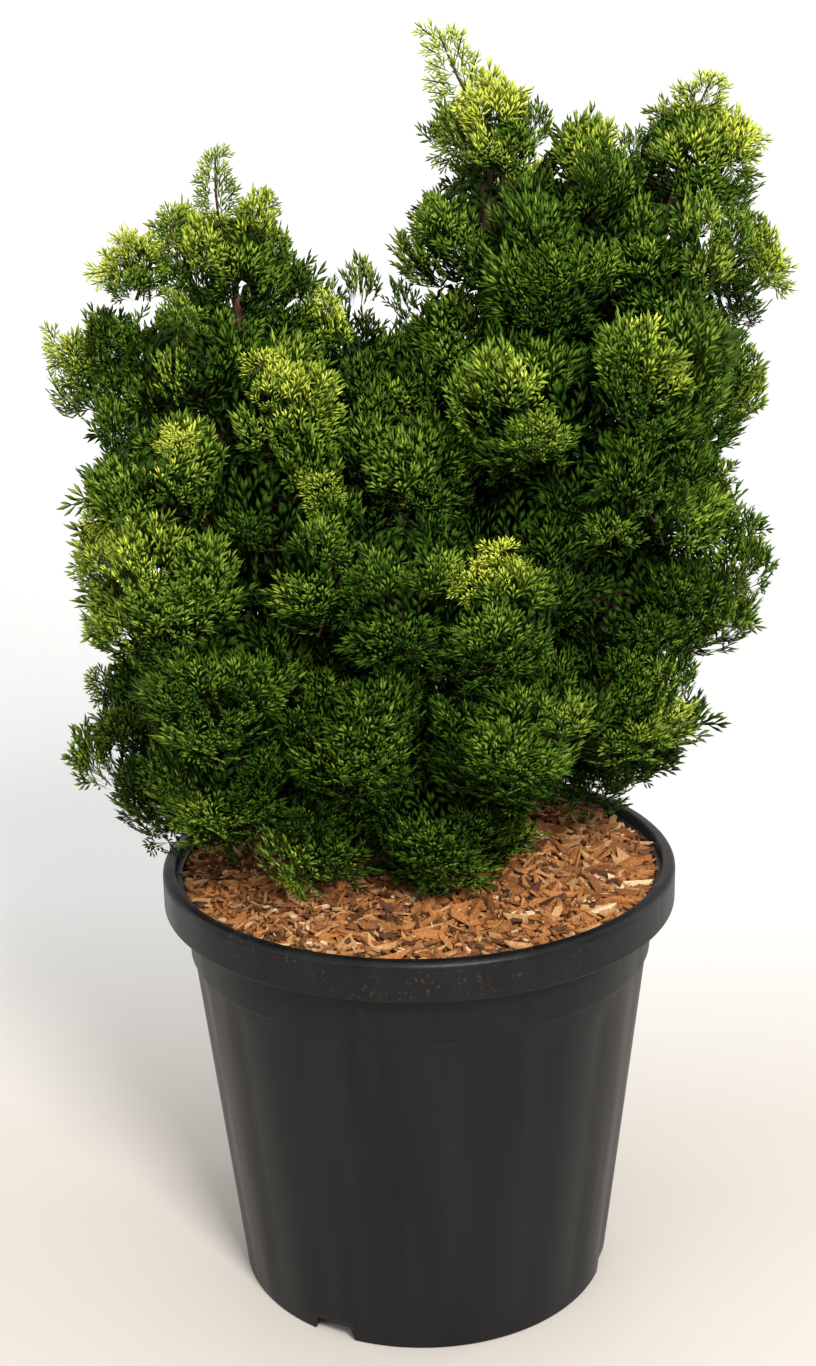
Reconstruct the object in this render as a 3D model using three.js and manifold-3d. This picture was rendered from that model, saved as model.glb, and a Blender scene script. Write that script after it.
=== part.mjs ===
// A potted hinoki cypress: a dense dwarf conifer with cupped fans of foliage, in a round nursery pot.
// Millimetres. +Z is up, +X is to the right of the front view, and the front faces -Y.
// The origin is the centre of the pot's flat underside.

import * as THREE from 'three';
import { mergeVertices } from 'three/addons/utils/BufferGeometryUtils.js';
import Module from 'manifold-3d';

const wasm = await Module();
wasm.setup();

// Driving dimensions

const GAP = 0.3;                       // clearance between pieces that touch
const MERGE_DISTANCE = 1e-3;           // corners closer than this are one corner
const POT_HEIGHT = 290;
const RIM_RADIUS = 166;
const LIP_RADIUS = 158;
const COLLAR_RADIUS = 152;
const SHOULDER_RADIUS = 148.5;         // where the tapering body meets the collar
const FOOT_RADIUS = 123;
const WALL = 3;
const RIM_BAND = 25;                   // height of the band round the rim
const COLLAR_BAND = 34;                // height of the collar below it
const ROUND_SIDES = 32;                // facets round the pot and what fills it

const FLOOR_DISC_RADIUS = 80;          // the flat part of the underside
const DRAIN_RISE = 9;                  // the drain ring is raised this far round that disc
const DRAIN_INNER_RADIUS = 88;
const DRAIN_OUTER_RADIUS = 117;
const NOTCH_ANGLES = [-29, 76];        // degrees from the front, and the same again opposite
const NOTCH_HEIGHT = 10;
const NOTCH_FOOT = 30;
const NOTCH_TOP = 24;
const NOTCH_DEPTH = 31;                // how far a notch's cutter reaches outwards

const MULCH_EDGE = 280;                // height of the bark at the pot's wall
const GROUND = 290;                    // height of the bark at the trunk's foot
const MULCH_DEPTH = 14;
const GROUND_RADIUS = 30;              // the level patch that the trunk stands on
const MULCH_ROUGHNESS = 1.5;
const MULCH_RINGS = [1, 0.84, 0.66, 0.48, 0.32];   // shares of its radius where its height is uneven
const MULCH_SEED = 7;

const TRUNK_RADIUS = 13;
const TRUNK_TAPER = 1.5;
const TRUNK_TOP = 340;
const TRUNK_LEAN = [-2, 1];            // how far the fork stands from above the foot
const TRUNK_SIDES = 12;
const TRUNK_STEPS = 5;
const FLARE_RADIUS = 21;
const FLARE_HEIGHT = 20;
const ROOT_RIDGES = 4;
const RIDGE_DEPTH = 0.16;

const UP = new THREE.Vector3(0, 0, 1);
const GOLDEN_ANGLE = Math.PI * (3 - Math.sqrt(5));

const LIMB_SIDES = 6;
const LIMB_STEP = 34;                  // length of one straight stretch of a limb
const BOUGH_SAG = 0.1;                 // how far a bough bows downwards, as a share of its length
const BOUGH_STOP = 0.62;               // where a bough ends, as a share of its mass's radius

const STEM_RADIUS = 2.2;
const STEM_TIP_RADIUS = 1.1;
const STEM_SIDES = 3;
const STEM_SLOPE = 0.45;               // how steeply a stem climbs away from its limb
const STEM_PLACES = 40;                // places along a limb where a stem may leave it
const TWIG_RADIUS = 1.1;
const TWIG_TIP_RADIUS = 0.6;
const TWIG_SIDES = 3;

const CORE_SHARE = 0.84;               // size of a mass's dense core, before its neighbours cut it
const CORE_MARGIN = 1.1;               // a plane beyond this many core radii doesn't reach the core
const FOLIAGE_SEED = 1000;
const OBSTACLE_STEP = 8;               // spacing of the points of a limb that sprays keep clear of
const FOLIAGE_FLOOR = 298;             // no foliage hangs lower than this

const SPRAY_TEETH = 4;
const SPRIG_TEETH = 3;
const SPRIG_SIDE_TEETH = 2;
const SPRAY_SPREAD = 0.85;             // half of a spray's opening angle, in radians
const SPRAY_NOTCH = 0.72;              // depth of the notches between its teeth
const SPRAY_SHOULDER = 0.08;           // how much shorter its side teeth are
const SPRAY_CUP = 0.3;
const SPRAY_HALF_THICKNESS = 1.2;
const SPRAY_THICKEST = 0.55;           // how far along its length a spray is thickest
const SPRAY_ROOT = 0.4;                // where sprays start, as a share of the lobe's radius
const SPRAY_REACH = 1.15;              // and where their tips lie
const REACH_SPREAD = 0.12;             // how much that varies from spray to spray
const SPRAY_LIFT = 0.55;               // how far sprays turn upwards
const SPRAY_ROLL = 1.2;                // how far their faces turn away from facing outwards
const SPRAY_PLACES = 12;               // directions tried round a lobe
const SPRAY_STRIDE = 5;                // the order that they are tried in
const SPRAYS_MOST = 3;                 // sprays kept on a lobe
const SPRAY_SIZES = [1, 0.82];         // a spray that doesn't fit its space is tried smaller
const SPRIG_SPRAY = 0.42;              // length of a sprig's own spray in the sprig
const SPRIG_SIDE_SPRAY = 0.3;          // and of each of its side sprays
const SPRIG_SIDE_TURN = 0.9;           // sideways part of a side spray's direction
const SPRIG_SIDE_PLACE = 1.35;         // end sprays between its tip and its side sprays' roots
const SPRIG_STAGGER = 0.08;            // how far its side sprays are from level with each other
const FUSED_TOLERANCE = 1.0;           // slivers this small are smoothed away where pieces fuse

// Materials

function finish(color, roughness) {
  return new THREE.MeshStandardMaterial({ color, roughness, metalness: 0 });
}

const potPlastic = finish(0x2a2b2c, 0.48);
const soil = finish(0x2c2019, 0.95);
const barkChips = finish(0xa8683f, 0.9);
const bark = finish(0x6b4630, 0.9);
const foliage = finish(0x3f7a1c, 0.7);
const goldFoliage = finish(0xb4c63a, 0.7);

// The plant's limbs. A leader is a stem that runs up through the foliage, given by the points it
// passes. A bough leaves its leader at a share of the leader's length and ends in its mass.

const LEADERS = [
  { name: 'left_leader', from: 'trunk', radii: [8.5, 3],
    path: [[-4, 1, 322], [-34, 4, 385], [-66, 4, 480], [-90, 6, 580], [-104, 6, 650]] },
  { name: 'right_leader', from: 'trunk', radii: [8.5, 3],
    path: [[4, 3, 326], [28, 12, 400], [44, 20, 500], [48, 18, 610], [47, 6, 712]] },
  { name: 'front_leader', from: 'trunk', radii: [6.5, 2.5],
    path: [[1, -4, 318], [0, -36, 372], [-4, -60, 440], [-6, -56, 520], [-3, -36, 572]] },
  { name: 'back_leader', from: 'trunk', radii: [6.5, 2.5],
    path: [[-2, 5, 324], [-12, 44, 390], [-22, 66, 470], [-30, 70, 545]] },
  { name: 'right_side_leader', from: 'right_leader', radii: [6, 2.5],
    path: [[35, 15, 438], [72, 8, 500], [104, 4, 580], [128, -2, 650], [150, -6, 696]] },
];

const BOUGHS = [
  { to: 'left_wing', from: 'left_leader', at: 0.72 },
  { to: 'left_cheek', from: 'left_leader', at: 0.42 },
  { to: 'left_cheek_low', from: 'left_leader', at: 0.24 },
  { to: 'low_left', from: 'left_leader', at: 0.12 },
  { to: 'front_right', from: 'front_leader', at: 0.3 },
  { to: 'right_low', from: 'right_leader', at: 0.16 },
  { to: 'right_hip', from: 'right_side_leader', at: 0.12 },
  { to: 'right_fan', from: 'right_side_leader', at: 0.6 },
  { to: 'right_ear', from: 'right_side_leader', at: 0.74 },
  { to: 'back_left', from: 'back_leader', at: 0.42 },
  { to: 'back_right', from: 'right_leader', at: 0.34 },
];
const BOUGH_RADII = [4.2, 2.4];

// The masses of foliage. A lobe is a rounded space: its centre x, y, z, its radius across and its
// radius up. A sprig is a twig that stands out of the mass to the point x, y, z.

const MASSES = [
  // Left tower
  { name: 'left_crest', on: 'left_leader', lobes: [[-106, 5, 668, 36, 38], [-156, -8, 668, 22, 20]],
    sprigs: [[-112, 5, 738], [-78, 5, 712], [-133, 5, 704], [-183, -10, 674], [-160, -10, 690]] },
  { name: 'left_wing', on: 'left_wing_bough', lobes: [[-168, 4, 606, 42, 37]],
    sprigs: [[-222, 0, 626]] },
  { name: 'left_shoulder', on: 'left_leader', lobes: [[-124, -40, 616, 42, 36]] },
  { name: 'left_inner', on: 'left_leader', lobes: [[-56, 4, 610, 40, 38]],
    sprigs: [[-44, 0, 652]] },
  { name: 'left_front', on: 'left_leader', lobes: [[-80, -62, 592, 36, 38], [-84, -68, 540, 46, 44]],
    sprigs: [[-84, -66, 630]] },
  { name: 'left_cheek', on: 'left_cheek_bough', lobes: [[-142, -72, 554, 44, 40], [-140, -82, 500, 52, 50]],
    sprigs: [[-192, -80, 531], [-130, -100, 590]] },
  { name: 'left_cheek_low', on: 'left_cheek_low_bough', lobes: [[-110, -84, 446, 52, 48]] },
  // Front and middle
  { name: 'front_left', on: 'front_leader', lobes: [[-50, -94, 516, 36, 48]],
    sprigs: [[-54, -106, 566]] },
  { name: 'front_centre', on: 'front_leader', lobes: [[-8, -104, 500, 42, 48]] },
  { name: 'centre', on: 'front_leader', lobes: [[-6, -12, 590, 44, 42], [2, -54, 556, 44, 42]] },
  { name: 'low_front', on: 'front_leader', lobes: [[-38, -84, 412, 50, 48]] },
  { name: 'front_right', on: 'front_right_bough', lobes: [[48, -110, 478, 40, 50], [56, -102, 414, 50, 46]],
    sprigs: [[26, -124, 512], [48, -124, 530]] },
  { name: 'low_centre', on: 'trunk', lobes: [[16, -58, 354, 56, 48]] },
  { name: 'low_front_left', on: 'trunk', lobes: [[-104, -66, 380, 52, 50], [-60, -58, 342, 52, 42]],
    sprigs: [[-82, -84, 303]] },
  { name: 'low_left', on: 'low_left_bough', lobes: [[-170, -12, 402, 37, 36], [-152, -4, 354, 44, 42]],
    sprigs: [[-206, -16, 420], [-164, -10, 312]] },
  // Right tower
  { name: 'right_column', on: 'right_leader', lobes: [[56, -8, 738, 27, 34], [40, 8, 684, 40, 46]],
    sprigs: [[31, -10, 804], [16, 6, 738]] },
  { name: 'right_inner', on: 'right_leader', lobes: [[38, 6, 620, 50, 50]] },
  { name: 'right_top', on: 'right_leader', lobes: [[102, -16, 710, 42, 37], [86, -46, 668, 48, 46]],
    sprigs: [[114, -20, 750]] },
  { name: 'right_crest', on: 'right_side_leader', lobes: [[162, -8, 726, 36, 36], [138, -42, 672, 44, 46]],
    sprigs: [[179, -10, 776], [206, -10, 744]] },
  { name: 'right_ear', on: 'right_ear_bough', lobes: [[197, 0, 658, 29, 28]],
    sprigs: [[227, 0, 664]] },
  { name: 'right_side', on: 'right_side_leader', lobes: [[164, -8, 604, 42, 44]],
    sprigs: [[205, -14, 588]] },
  { name: 'right_fan', on: 'right_fan_bough', lobes: [[130, -72, 614, 42, 44]] },
  { name: 'right_chest', on: 'right_leader', lobes: [[74, -68, 600, 50, 46]] },
  { name: 'right_belly', on: 'right_side_leader', lobes: [[116, -58, 554, 54, 50], [154, -28, 528, 38, 38]],
    sprigs: [[183, -22, 534]] },
  { name: 'right_middle', on: 'right_leader', lobes: [[72, -48, 508, 56, 56]] },
  { name: 'right_hip', on: 'right_hip_bough', lobes: [[164, -18, 470, 44, 46], [124, -26, 466, 52, 50]],
    sprigs: [[206, -20, 480]] },
  { name: 'right_low', on: 'right_low_bough', lobes: [[128, -44, 422, 43, 46]],
    sprigs: [[164, -50, 408]] },
  { name: 'right_low_back', on: 'right_leader', lobes: [[106, 24, 360, 48, 44]],
    sprigs: [[143, 25, 336]] },
  // Back
  { name: 'back_left_crest', on: 'left_leader', lobes: [[-98, 48, 652, 38, 38], [-60, 54, 604, 44, 42]],
    sprigs: [[-92, 56, 692]] },
  { name: 'back_left_high', on: 'left_leader', lobes: [[-138, 54, 588, 46, 44]] },
  { name: 'back_left', on: 'back_left_bough', lobes: [[-140, 66, 514, 52, 50], [-100, 98, 500, 48, 50]] },
  { name: 'back_left_low', on: 'trunk', lobes: [[-126, 66, 424, 52, 52], [-92, 72, 356, 50, 46]] },
  { name: 'back_middle', on: 'back_leader', lobes: [[-34, 76, 584, 44, 42], [-30, 104, 508, 50, 52]] },
  { name: 'back_low', on: 'back_leader', lobes: [[-44, 104, 426, 50, 52], [-22, 86, 354, 50, 44]] },
  { name: 'back_low_right', on: 'trunk', lobes: [[42, 98, 408, 52, 52], [58, 72, 348, 48, 40]] },
  { name: 'back_right_low', on: 'right_leader', lobes: [[116, 70, 430, 52, 52]] },
  { name: 'back_right', on: 'back_right_bough', lobes: [[58, 96, 502, 50, 50], [122, 72, 518, 52, 52]] },
  { name: 'back_right_high', on: 'right_side_leader',
    lobes: [[100, 56, 606, 52, 50], [158, 48, 594, 42, 44]] },
  { name: 'back_right_crest', on: 'right_side_leader',
    lobes: [[138, 36, 684, 44, 42], [72, 46, 680, 42, 44]], sprigs: [[146, 40, 728]] },
];
const GOLD_MASSES = ['left_crest', 'front_right', 'right_crest'];

// Solids

// Turns a closed geometry into a solid: its shared corners are merged and flat scraps dropped.
function solid(geometry) {
  const bare = geometry.clone();
  bare.deleteAttribute('normal');
  bare.deleteAttribute('uv');
  const merged = mergeVertices(bare, MERGE_DISTANCE);
  const corners = merged.index.array;
  const triangles = [];
  for (let i = 0; i < corners.length; i += 3) {
    const [a, b, c] = [corners[i], corners[i + 1], corners[i + 2]];
    if (a !== b && b !== c && c !== a) {
      triangles.push(a, b, c);
    }
  }
  return new wasm.Manifold(new wasm.Mesh({
    numProp: 3,
    vertProperties: new Float32Array(merged.attributes.position.array),
    triVerts: new Uint32Array(triangles),
  }));
}

// The largest body of a solid: loose scraps and sealed hollows are left out.
function largestBody(body) {
  const pieces = body.decompose();
  return pieces.reduce((best, piece) => (piece.volume() > best.volume() ? piece : best));
}

function meshOf(name, body, material) {
  const { vertProperties, triVerts } = body.getMesh();
  const geometry = new THREE.BufferGeometry();
  geometry.setAttribute('position', new THREE.BufferAttribute(new Float32Array(vertProperties), 3));
  geometry.setIndex(new THREE.BufferAttribute(new Uint32Array(triVerts), 1));
  geometry.computeVertexNormals();
  const mesh = new THREE.Mesh(geometry, material);
  mesh.name = name;
  return mesh;
}

// A solid of revolution about Z, from profile points [radius, height] that start and end on the axis.
function turned(profile, sides) {
  const points = profile.map(([radius, height]) => new THREE.Vector2(radius, height));
  const geometry = new THREE.LatheGeometry(points, sides);
  geometry.rotateX(Math.PI / 2);
  return geometry;
}

// A source of numbers between 0 and 1, the same ones for the same seed: a well-known 32-bit mixer.
function seededRandom(seed) {
  let state = seed >>> 0;
  return () => {
    state = (state + 0x6d2b79f5) >>> 0;
    let mixed = state;
    mixed = Math.imul(mixed ^ (mixed >>> 15), mixed | 1);
    mixed ^= mixed + Math.imul(mixed ^ (mixed >>> 7), mixed | 61);
    return ((mixed ^ (mixed >>> 14)) >>> 0) / 2 ** 32;
  };
}

// Pot, soil and bark

const COLLAR_TOP = POT_HEIGHT - RIM_BAND;
const COLLAR_FOOT = COLLAR_TOP - COLLAR_BAND;
const FLOOR_TOP = WALL + DRAIN_RISE;

function bodyRadius(height) {
  return FOOT_RADIUS + (SHOULDER_RADIUS - FOOT_RADIUS) * (height / COLLAR_FOOT);
}

// The pot's inside from its floor up to the lip, which the soil and the bark follow.
function insideProfile() {
  return [
    [FLOOR_DISC_RADIUS - WALL / 2, WALL],
    [DRAIN_INNER_RADIUS - WALL / 2, FLOOR_TOP],
    [bodyRadius(FLOOR_TOP) - WALL, FLOOR_TOP],
    [SHOULDER_RADIUS - WALL, COLLAR_FOOT],
    [COLLAR_RADIUS - WALL, COLLAR_TOP],
    [LIP_RADIUS - WALL / 2, MULCH_EDGE + WALL],
    [LIP_RADIUS, POT_HEIGHT - WALL],
  ];
}

function insideRadius(height) {
  const profile = insideProfile();
  const upper = profile.findIndex((point) => point[1] > height);
  const [lowRadius, low] = profile[upper - 1];
  const [highRadius, high] = profile[upper];
  return lowRadius + (highRadius - lowRadius) * ((height - low) / (high - low));
}

function pot() {
  const outside = [
    [0, 0],
    [FLOOR_DISC_RADIUS, 0],
    [DRAIN_INNER_RADIUS, DRAIN_RISE],
    [DRAIN_OUTER_RADIUS, DRAIN_RISE],
    [FOOT_RADIUS - WALL, 0],
    [FOOT_RADIUS, 0],
    [SHOULDER_RADIUS, COLLAR_FOOT],
    [COLLAR_RADIUS - WALL / 2, COLLAR_FOOT + WALL / 2],
    [COLLAR_RADIUS, COLLAR_TOP],
    [COLLAR_RADIUS + WALL / 2, POT_HEIGHT - 2 * WALL],
    [RIM_RADIUS - WALL, POT_HEIGHT - 2 * WALL],
    [RIM_RADIUS - WALL, COLLAR_TOP],
    [RIM_RADIUS, COLLAR_TOP],
    [RIM_RADIUS, POT_HEIGHT - WALL],
    [RIM_RADIUS - WALL, POT_HEIGHT],
    [LIP_RADIUS + WALL / 2, POT_HEIGHT],
  ];
  const inside = insideProfile().reverse();
  let body = solid(turned([...outside, ...inside, [0, WALL]], ROUND_SIDES));
  for (const angle of NOTCH_ANGLES) {
    for (const side of [0, 180]) {
      body = body.subtract(notch(angle + side));
    }
  }
  return body;
}

// A drain notch in the pot's foot: a trapezoid pushed out through the skirt.
function notch(degreesFromFront) {
  const shape = new THREE.Shape([
    new THREE.Vector2(-NOTCH_FOOT / 2, -NOTCH_HEIGHT),
    new THREE.Vector2(NOTCH_FOOT / 2, -NOTCH_HEIGHT),
    new THREE.Vector2(NOTCH_FOOT / 2, 0),
    new THREE.Vector2(NOTCH_TOP / 2, NOTCH_HEIGHT),
    new THREE.Vector2(-NOTCH_TOP / 2, NOTCH_HEIGHT),
    new THREE.Vector2(-NOTCH_FOOT / 2, 0),
  ]);
  const geometry = new THREE.ExtrudeGeometry(shape, { depth: NOTCH_DEPTH, bevelEnabled: false });
  geometry.rotateX(Math.PI / 2);
  geometry.translate(0, -(DRAIN_OUTER_RADIUS - GAP), 0);
  geometry.rotateZ(THREE.MathUtils.degToRad(degreesFromFront));
  return solid(geometry);
}

function rootBall() {
  const top = MULCH_EDGE - MULCH_DEPTH;
  const walls = insideProfile().filter((point) => point[1] < top);
  const side = walls.map(([radius, height]) => [radius - GAP, height + GAP]);
  return solid(turned([[0, WALL + GAP], ...side, [insideRadius(top) - GAP, top], [0, top]], ROUND_SIDES));
}

// The layer of bark chips: domed towards the trunk, uneven, with a level patch under the trunk's foot.
function barkMulch() {
  const foot = MULCH_EDGE - MULCH_DEPTH + GAP;
  const edge = insideRadius(MULCH_EDGE) - GAP;
  const rings = [...MULCH_RINGS.map((share) => edge * share), GROUND_RADIUS];
  const domed = rings.map((radius) => {
    const inward = (edge - radius) / (edge - GROUND_RADIUS);
    return [radius, MULCH_EDGE + (GROUND - MULCH_EDGE) * Math.sin((inward * Math.PI) / 2)];
  });
  const underside = [[0, foot], [insideRadius(foot) - GAP, foot]];
  const profile = [...underside, ...domed, [0, GROUND]];
  const geometry = turned(profile, ROUND_SIDES);
  const random = seededRandom(MULCH_SEED);
  const bumps = Array.from({ length: ROUND_SIDES }, () => rings.map(() => random() - 0.5));
  const position = geometry.attributes.position;
  for (let i = 0; i < position.count; i += 1) {
    const ring = (i % profile.length) - underside.length;
    const side = Math.floor(i / profile.length) % ROUND_SIDES;
    if (ring > 0 && ring < rings.length - 1) {
      position.setZ(i, position.getZ(i) + 2 * MULCH_ROUGHNESS * bumps[side][ring]);
    }
  }
  return solid(geometry);
}

// Limbs

// A tapering limb along a curve, with flat ends. radiusAt gives its radius at a share of its length,
// and grow makes it that much fatter and longer, for cutting its neighbours clear of it.
function limb(curve, radiusAt, sides, steps, grow = 0) {
  const geometry = new THREE.CylinderGeometry(1, 1, 1, sides, steps);
  const frames = curve.computeFrenetFrames(steps);
  const position = geometry.attributes.position;
  for (let i = 0; i < position.count; i += 1) {
    const share = position.getY(i) + 0.5;
    const station = Math.round(share * steps);
    const tangent = frames.tangents[station];
    const radius = radiusAt(share) + grow;
    const beyond = station === 0 ? -grow : station === steps ? grow : 0;
    const point = curve.getPointAt(share)
      .addScaledVector(tangent, beyond)
      .addScaledVector(frames.normals[station], position.getX(i) * radius)
      .addScaledVector(frames.binormals[station], -position.getZ(i) * radius);
    position.setXYZ(i, point.x, point.y, point.z);
  }
  return solid(geometry);
}

function curveThrough(points) {
  return new THREE.CatmullRomCurve3(points.map((point) => new THREE.Vector3(...point)));
}

// A limb's record: what it is called, its curve and taper, and its solid at its own size and grown.
function makeLimb(name, from, curve, radii, sides) {
  const radiusAt = (share) => THREE.MathUtils.lerp(radii[0], radii[1], share);
  const steps = Math.max(2, Math.round(curve.getLength() / LIMB_STEP));
  return {
    name,
    from,
    curve,
    radiusAt,
    body: limb(curve, radiusAt, sides, steps),
    grown: limb(curve, radiusAt, sides, steps, GAP),
  };
}

// The short trunk: ridged where the roots flare, cut flat at the ground, leaning a little, and ending
// at the fork.
function makeTrunk() {
  const foot = new THREE.Vector3(0, 0, GROUND + GAP);
  const fork = foot.clone().add(new THREE.Vector3(...TRUNK_LEAN, TRUNK_TOP - foot.z));
  const upright = new THREE.LineCurve3(foot, new THREE.Vector3(0, 0, TRUNK_TOP));
  const length = TRUNK_TOP - foot.z;
  const flareAt = (share) => Math.max(0, 1 - (share * length) / FLARE_HEIGHT) ** 2;
  const flare = FLARE_RADIUS - TRUNK_RADIUS;
  const radiusAt = (share) => TRUNK_RADIUS - TRUNK_TAPER * share + flare * flareAt(share);
  const shaped = (grow) => limb(upright, radiusAt, TRUNK_SIDES, TRUNK_STEPS, grow).warp((vertex) => {
    const share = THREE.MathUtils.clamp((vertex[2] - foot.z) / length, 0, 1);
    const angle = Math.atan2(vertex[1], vertex[0]);
    const ridge = 1 + RIDGE_DEPTH * flareAt(share) * Math.cos(ROOT_RIDGES * angle);
    vertex[0] = vertex[0] * ridge + TRUNK_LEAN[0] * share;
    vertex[1] = vertex[1] * ridge + TRUNK_LEAN[1] * share;
  });
  const curve = new THREE.LineCurve3(foot, fork);
  return { name: 'trunk', curve, radiusAt, body: shaped(0), grown: shaped(GAP) };
}

function makeBough({ to, from, at }, limbs) {
  const start = limbs.get(from).curve.getPointAt(at);
  const [x, y, z, across] = MASSES.find((mass) => mass.name === to).lobes[0];
  const centre = new THREE.Vector3(x, y, z);
  const along = centre.clone().sub(start);
  const length = along.length();
  const end = centre.clone().addScaledVector(along, -(across * BOUGH_STOP) / length);
  const middle = start.clone().lerp(end, 0.5).addScaledVector(UP, -length * BOUGH_SAG);
  const curve = new THREE.CatmullRomCurve3([start, middle, end]);
  return makeLimb(`${to}_bough`, from, curve, BOUGH_RADII, LIMB_SIDES);
}

function makeLimbs() {
  const limbs = new Map([['trunk', makeTrunk()]]);
  for (const { name, from, path, radii } of LEADERS) {
    limbs.set(name, makeLimb(name, from, curveThrough(path), radii, LIMB_SIDES));
  }
  for (const bough of BOUGHS) {
    const made = makeBough(bough, limbs);
    limbs.set(made.name, made);
  }
  for (const each of limbs.values()) {
    if (each.from) {
      each.body = largestBody(each.body.subtract(limbs.get(each.from).grown));
    }
  }
  return limbs;
}

// Masses of foliage

function lobesOf(mass) {
  return mass.lobes.map(([x, y, z, across, up]) => ({
    centre: new THREE.Vector3(x, y, z),
    radii: new THREE.Vector3(across, across, up),
    radius: (2 * across + up) / 3,
  }));
}

// The stem of a mass: from its bough's tip, or from the side of its leader or the trunk, through its
// lobes. It starts on the limb's axis there, and is cut clear of the limb afterwards.
function makeStem(mass, limbs) {
  const carrier = limbs.get(mass.on);
  const centres = lobesOf(mass).map((lobe) => lobe.centre);
  const points = [stemRoot(mass, carrier, centres[0]), ...centres];
  return makeLimb(`${mass.name}_stem`, mass.on, new THREE.CatmullRomCurve3(points),
    [STEM_RADIUS, STEM_TIP_RADIUS], STEM_SIDES);
}

function stemRoot(mass, carrier, centre) {
  if (carrier.name === `${mass.name}_bough`) {
    return carrier.curve.getPointAt(1).addScaledVector(carrier.curve.getTangentAt(1), GAP);
  }
  const places = carrier.curve.getSpacedPoints(STEM_PLACES).slice(1);
  const away = (place) => {
    const drop = Math.hypot(place.x - centre.x, place.y - centre.y) * STEM_SLOPE;
    return place.distanceTo(centre.clone().addScaledVector(UP, -drop));
  };
  return places.reduce((best, place) => (away(place) < away(best) ? place : best));
}

// The space of each lobe is bounded by a flat plane towards every lobe of every other mass, placed by
// their radii, and by the foliage's floor. A plane holds what lies behind it: normal . point <= offset.
function spaceOf(lobe, mass, masses) {
  const planes = [{ normal: UP.clone().negate(), offset: -FOLIAGE_FLOOR }];
  for (const other of masses) {
    if (other === mass) {
      continue;
    }
    for (const neighbour of other.lobes) {
      const normal = neighbour.centre.clone().sub(lobe.centre);
      const distance = normal.length();
      normal.divideScalar(distance);
      const share = (distance ** 2 + lobe.radius ** 2 - neighbour.radius ** 2) / (2 * distance);
      planes.push({ normal, offset: normal.dot(lobe.centre) + share - GAP / 2 });
    }
  }
  return planes;
}

function inside(point, planes) {
  return planes.every(({ normal, offset }) => normal.dot(point) <= offset);
}

// One spray of foliage: a cupped blade with a toothed outer edge, thickest in the middle. It grows
// along +Y from its root at the origin.
function sprayGeometry(length, teeth) {
  const rim = 2 * teeth;
  const geometry = new THREE.SphereGeometry(1, rim, 2);
  const { position, uv } = geometry.attributes;
  for (let i = 0; i < position.count; i += 1) {
    const pole = Math.round(position.getY(i));
    const place = Math.round(uv.getX(i) * rim) % rim;
    if (pole !== 0) {
      position.setXYZ(i, 0, SPRAY_THICKEST * length, pole * SPRAY_HALF_THICKNESS);
    } else if (place === 0) {
      position.setXYZ(i, 0, 0, 0);
    } else {
      const across = 1 - (2 * (place - 1)) / (rim - 2);
      const reach = (1 - SPRAY_SHOULDER * across ** 2) * (place % 2 === 1 ? 1 : SPRAY_NOTCH);
      const x = length * reach * Math.sin(across * SPRAY_SPREAD);
      const y = length * reach * Math.cos(across * SPRAY_SPREAD);
      position.setXYZ(i, x, y, (SPRAY_CUP * x * x) / length);
    }
  }
  return geometry;
}

function sprayAt({ root, axis, face, length, teeth = SPRAY_TEETH }) {
  const across = new THREE.Vector3().crossVectors(axis, face).normalize();
  const normal = new THREE.Vector3().crossVectors(across, axis);
  const geometry = sprayGeometry(length, teeth);
  geometry.applyMatrix4(new THREE.Matrix4().makeBasis(across, axis, normal).setPosition(root));
  return geometry;
}

// True where every corner of the spray is in its space and clear of the limbs.
function fits(geometry, planes, obstacles) {
  const position = geometry.attributes.position;
  const corner = new THREE.Vector3();
  for (let i = 0; i < position.count; i += 1) {
    corner.fromBufferAttribute(position, i);
    if (!inside(corner, planes)) {
      return false;
    }
    if (obstacles.some(({ point, radius }) => corner.distanceTo(point) < radius)) {
      return false;
    }
  }
  return true;
}

// The sprays round a lobe, like scales with their tips turned up: their places are spread by the golden
// angle, each is rolled at random, and the first few that fit their space are kept.
function spraysRound(lobe, planes, obstacles, random) {
  const phase = random() * 2 * Math.PI;
  const sprays = [];
  for (let k = 0; k < SPRAY_PLACES; k += 1) {
    const place = (k * SPRAY_STRIDE) % SPRAY_PLACES;
    const height = 1 - (2 * (place + 0.5)) / SPRAY_PLACES;
    const turn = phase + place * GOLDEN_ANGLE;
    const level = Math.sqrt(1 - height * height);
    const outward = new THREE.Vector3(level * Math.cos(turn), level * Math.sin(turn), height);
    const surface = outward.clone().multiply(lobe.radii).add(lobe.centre);
    const root = lobe.centre.clone().lerp(surface, SPRAY_ROOT);
    const reach = SPRAY_REACH * (1 + REACH_SPREAD * (random() - 0.5));
    const length = (surface.distanceTo(root) * (reach - SPRAY_ROOT)) / (1 - SPRAY_ROOT);
    const axis = surface.clone().sub(root).normalize().addScaledVector(UP, SPRAY_LIFT).normalize();
    const askew = new THREE.Vector3(random() - 0.5, random() - 0.5, random() - 0.5);
    const face = outward.clone().addScaledVector(askew, SPRAY_ROLL);
    const fitting = SPRAY_SIZES.map((size) => sprayAt({ root, axis, face, length: length * size }))
      .find((geometry) => fits(geometry, planes, obstacles));
    if (fitting && sprays.length < SPRAYS_MOST) {
      sprays.push(solid(fitting));
    }
  }
  return sprays;
}

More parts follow.
